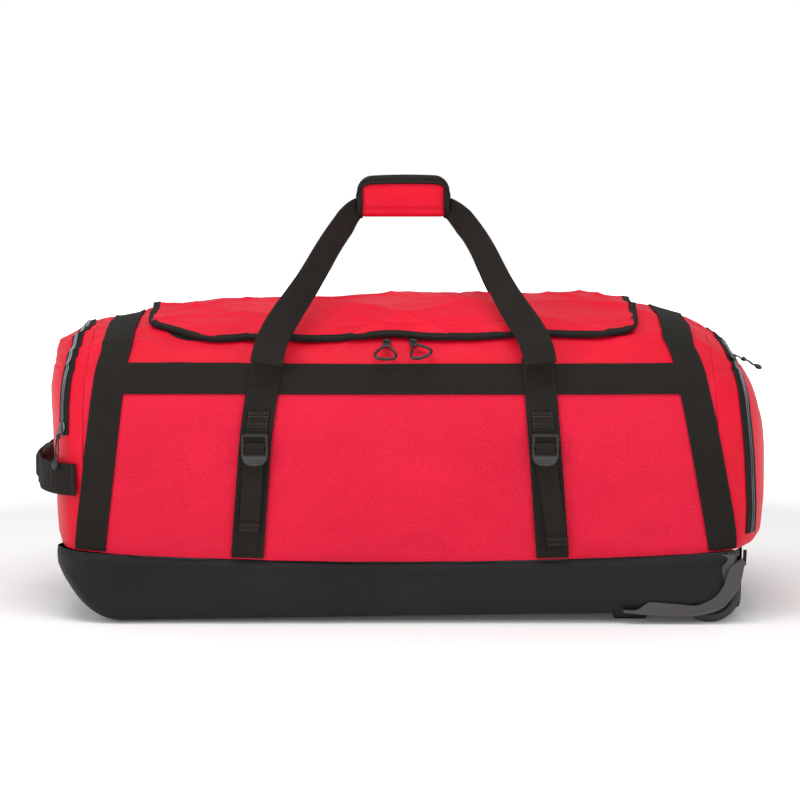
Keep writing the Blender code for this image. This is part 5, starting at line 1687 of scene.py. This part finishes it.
def haulGrip():
    pad = roundBox("haulGrip", gripLow + [0.0016, 0.0010, 0.0016], gripHigh - [0.0016, 0.0010, 0.0016],
                   0.0078, gripCloth, 5)
    ends = lambda p: (np.abs(p[:, 1]) > gripHigh[1] - 0.006) | (np.abs(p[:, 2] - haul["z"]) > 0.0180)
    plumped(pad, 0.0022, ends, 0.0030, 4.0)

    def tapered(p):
        away = np.abs(p[:, 1]) / gripHigh[1]
        p[:, 2] = haul["z"] + (p[:, 2] - haul["z"]) * (1.0 - 0.30 * away ** 4) + 0.0008 * billow(p[:,
            1] * 40, p[:, 2] * 40, 2)
        p[:, 0] = haul["x"] + (p[:, 0] - haul["x"]) * (0.96 - 0.22 * away ** 4)
        return p
    return boxUv(reshaped(pad, tapered))


finishPiece(haulStrap(), "haul_handle", "webbing", "haul_strap")
grip = haulGrip()
finishPiece(grip, "haul_handle", "black_plastic", "haul_grip")

# Piping at the right end of the base; the air mesh there is set in the base cloth
pipe = {"x": 0.4062, "z": (0.070, 0.0885), "inset": 0.0050, "radius": 0.0022}
pipes = []
for side in (-1.0, 1.0):
    heights = np.linspace(*pipe["z"], 30)
    line = np.stack([pipe["x"] + 0.0010 * np.sin(heights * 90),
                     np.full(30, side * (base["half"] - pipe["inset"])), heights], -1)
    pipes.append(roundTube("pipe", line, pipe["radius"], blackBinding, 10))
finishPiece(joinPieces("basePiping", pipes), "bag", "webbing")
print("stage: haul handle and piping")

# Repeated bits by geometry nodes


# tree: curve from the lines, even points along it, one small shape on each
def repeater(name, material):
    tree = bpy.data.node_groups.new(name, "GeometryNodeTree")
    tree.interface.new_socket("Geometry", in_out="INPUT", socket_type="NodeSocketGeometry")
    ids = {}
    for key in ("Pitch", "Length", "Width", "Height"):
        socket = tree.interface.new_socket(key, in_out="INPUT", socket_type="NodeSocketFloat")
        ids[key.lower()] = socket.identifier
    ids["seed"] = tree.interface.new_socket("Seed", in_out="INPUT", socket_type="NodeSocketInt").identifier
    tree.interface.new_socket("Geometry", in_out="OUTPUT", socket_type="NodeSocketGeometry")
    source = tree.nodes.new("NodeGroupInput")
    sink = tree.nodes.new("NodeGroupOutput")
    curve = addNode(tree, "GeometryNodeMeshToCurve", {}, {0: source.outputs["Geometry"]})
    even = addNode(tree, "GeometryNodeResampleCurve", {"mode": "LENGTH"},
                   {"Curve": curve.outputs[0], "Length": source.outputs["Pitch"]})
    tangent = addNode(tree, "GeometryNodeInputTangent")
    turn = addNode(tree, "FunctionNodeAlignRotationToVector", {"axis": "X"}, {"Vector": tangent.outputs[0]})
    bit = addNode(tree, "GeometryNodeMeshUVSphere", {"Segments": 6, "Rings": 4, "Radius": 0.5})
    jitter = addNode(tree, "FunctionNodeRandomValue", {"data_type": "FLOAT"},
                     {"Seed": source.outputs["Seed"]})
    jitter.inputs[2].default_value = 0.9
    jitter.inputs[3].default_value = 1.1
    scaled = addNode(tree, "ShaderNodeMath", {"operation": "MULTIPLY"},
                     {0: source.outputs["Length"], 1: jitter.outputs[1]})
    scale = addNode(tree, "ShaderNodeCombineXYZ", {}, {0: scaled.outputs[0], 1: source.outputs["Width"],
        2: source.outputs["Height"]})
    copies = addNode(tree, "GeometryNodeInstanceOnPoints", {}, {
        "Points": even.outputs[0], "Instance": bit.outputs[0], "Rotation": turn.outputs[0],
        "Scale": scale.outputs[0]})
    real = addNode(tree, "GeometryNodeRealizeInstances", {}, {0: copies.outputs[0]})
    smooth = addNode(tree, "GeometryNodeSetShadeSmooth", {}, {0: real.outputs[0]})
    painted = addNode(tree, "GeometryNodeSetMaterial", {"Material": material},
                      {"Geometry": smooth.outputs[0]})
    tree.links.new(painted.outputs[0], sink.inputs[0])
    return tree, ids


def runRepeater(name, lines, recipe, material, body, slot):
    verts = []
    edges = []
    for line in lines:
        start = len(verts)
        verts += [tuple(map(float, p)) for p in line]
        edges += [(start + k, start + k + 1) for k in range(len(line) - 1)]
    mesh = bpy.data.meshes.new(name)
    mesh.from_pydata(verts, edges, [])
    mesh.materials.append(material)
    obj = bpy.data.objects.new(name, mesh)
    bpy.context.scene.collection.objects.link(obj)
    tree, ids = repeater(name + "Tree", material)
    step = obj.modifiers.new("repeat", "NODES")
    step.node_group = tree
    for key in ("pitch", "length", "width", "height"):
        step[ids[key]] = float(recipe[key])
    step[ids["seed"]] = 3
    obj.update_tag()
    frozen(obj)
    if not obj.data.uv_layers:
        obj.data.uv_layers.new(name="metres")
    return finishPiece(obj, body, slot)


stitch = {"pitch": 0.0034, "length": 0.0025, "width": 0.00055, "height": 0.00045}
threads = {"black": (blackThread, "webbing"), "red": (redThread, "red_cloth"),
           "grey": (greyThread, "webbing")}
for (body, kind), lines in sorted(stitchLines.items()):
    material, slot = threads[kind]
    runRepeater("stitches_" + body + "_" + kind, lines, stitch, material, body, slot)
tooth = {"pitch": 0.0015, "length": 0.0011, "width": 0.0028, "height": 0.0016}
for (body, kind), lines in sorted(teethLines.items()):
    material = zipCoil if kind == "grey" else blackCoil
    runRepeater("teeth_" + body + "_" + kind, lines, tooth, material, body, "zip_tape")
print("stage: stitches and teeth")

# Stage, light and camera
studio = {"floor": "#fafafa", "surround": 0.62, "glow": 0.05, "fadeStart": 0.9, "fadeEnd": 1.7}


# pale floor that turns into the white surround away from the bag
def floorMaterial():
    made, tree, shader = newMaterial("paleStudioFloor", studio["floor"], 0.9)
    shader.inputs["Specular IOR Level"].default_value = 0.0
    shader.inputs["Emission Color"].default_value = (1.0, 1.0, 1.0, 1.0)
    place = addNode(tree, "ShaderNodeTexCoord", {})
    away = addNode(tree, "ShaderNodeVectorMath", {"operation": "LENGTH"}, {0: place.outputs["Object"]})
    fade = addNode(tree, "ShaderNodeMapRange",
                   {"From Min": studio["fadeStart"], "From Max": studio["fadeEnd"],
                    "To Min": studio["glow"], "To Max": 1.0},
                   {"Value": away.outputs["Value"]})
    tree.links.new(fade.outputs[0], shader.inputs["Emission Strength"])
    return made


floor = meshObject("floor", [(-8, -8, 0), (8, -8, 0), (8, 8, 0), (-8, 8, 0)], [(0, 1, 2, 3)],
                   floorMaterial())
world = bpy.data.worlds.new("studio")
world.use_nodes = True
sky = world.node_tree
background = sky.nodes["Background"]
background.inputs[0].default_value = (1.0, 1.0, 1.0, 1.0)
ray = addNode(sky, "ShaderNodeLightPath", {})
level = addNode(sky, "ShaderNodeMapRange", {"To Min": studio["surround"], "To Max": 1.0},
                {"Value": ray.outputs["Is Camera Ray"]})
sky.links.new(level.outputs[0], background.inputs[1])
bpy.context.scene.world = world


def softbox(name, place, target, size, power):
    data = bpy.data.lights.new(name, "AREA")
    data.shape = "RECTANGLE"
    data.size = size[0]
    data.size_y = size[1]
    data.energy = power
    obj = bpy.data.objects.new(name, data)
    place = Vector(place)
    obj.location = place
    obj.rotation_mode = "QUATERNION"
    obj.rotation_quaternion = (Vector(target) - place).to_track_quat("-Z", "Y")
    bpy.context.scene.collection.objects.link(obj)


softbox("topBox", (-0.2, -0.7, 1.9), (0, 0, 0.15), (1.6, 0.9), 18.5)
softbox("leftBox", (-1.7, -1.7, 1.0), (0, 0, 0.2), (0.9, 1.2), 12.0)
softbox("rightBox", (1.7, -1.6, 0.9), (0, 0, 0.2), (0.9, 1.2), 6.5)

view = {"lens": 108.0, "sensor": 36.0, "elevation": math.radians(6.0), "distance": 3.0,
        "targetHeight": 0.247}
cameraData = bpy.data.cameras.new("camera")
cameraData.lens = view["lens"]
cameraData.sensor_width = view["sensor"]
camera = bpy.data.objects.new("camera", cameraData)
towards = np.array([0.0, -math.cos(view["elevation"]), math.sin(view["elevation"])])
camera.location = np.array([0.0, 0.0, view["targetHeight"]]) + view["distance"] * towards
camera.rotation_euler = (math.pi / 2 - view["elevation"], 0.0, 0.0)
bpy.context.scene.collection.objects.link(camera)
bpy.context.scene.camera = camera
bpy.context.scene.view_settings.view_transform = "Standard"
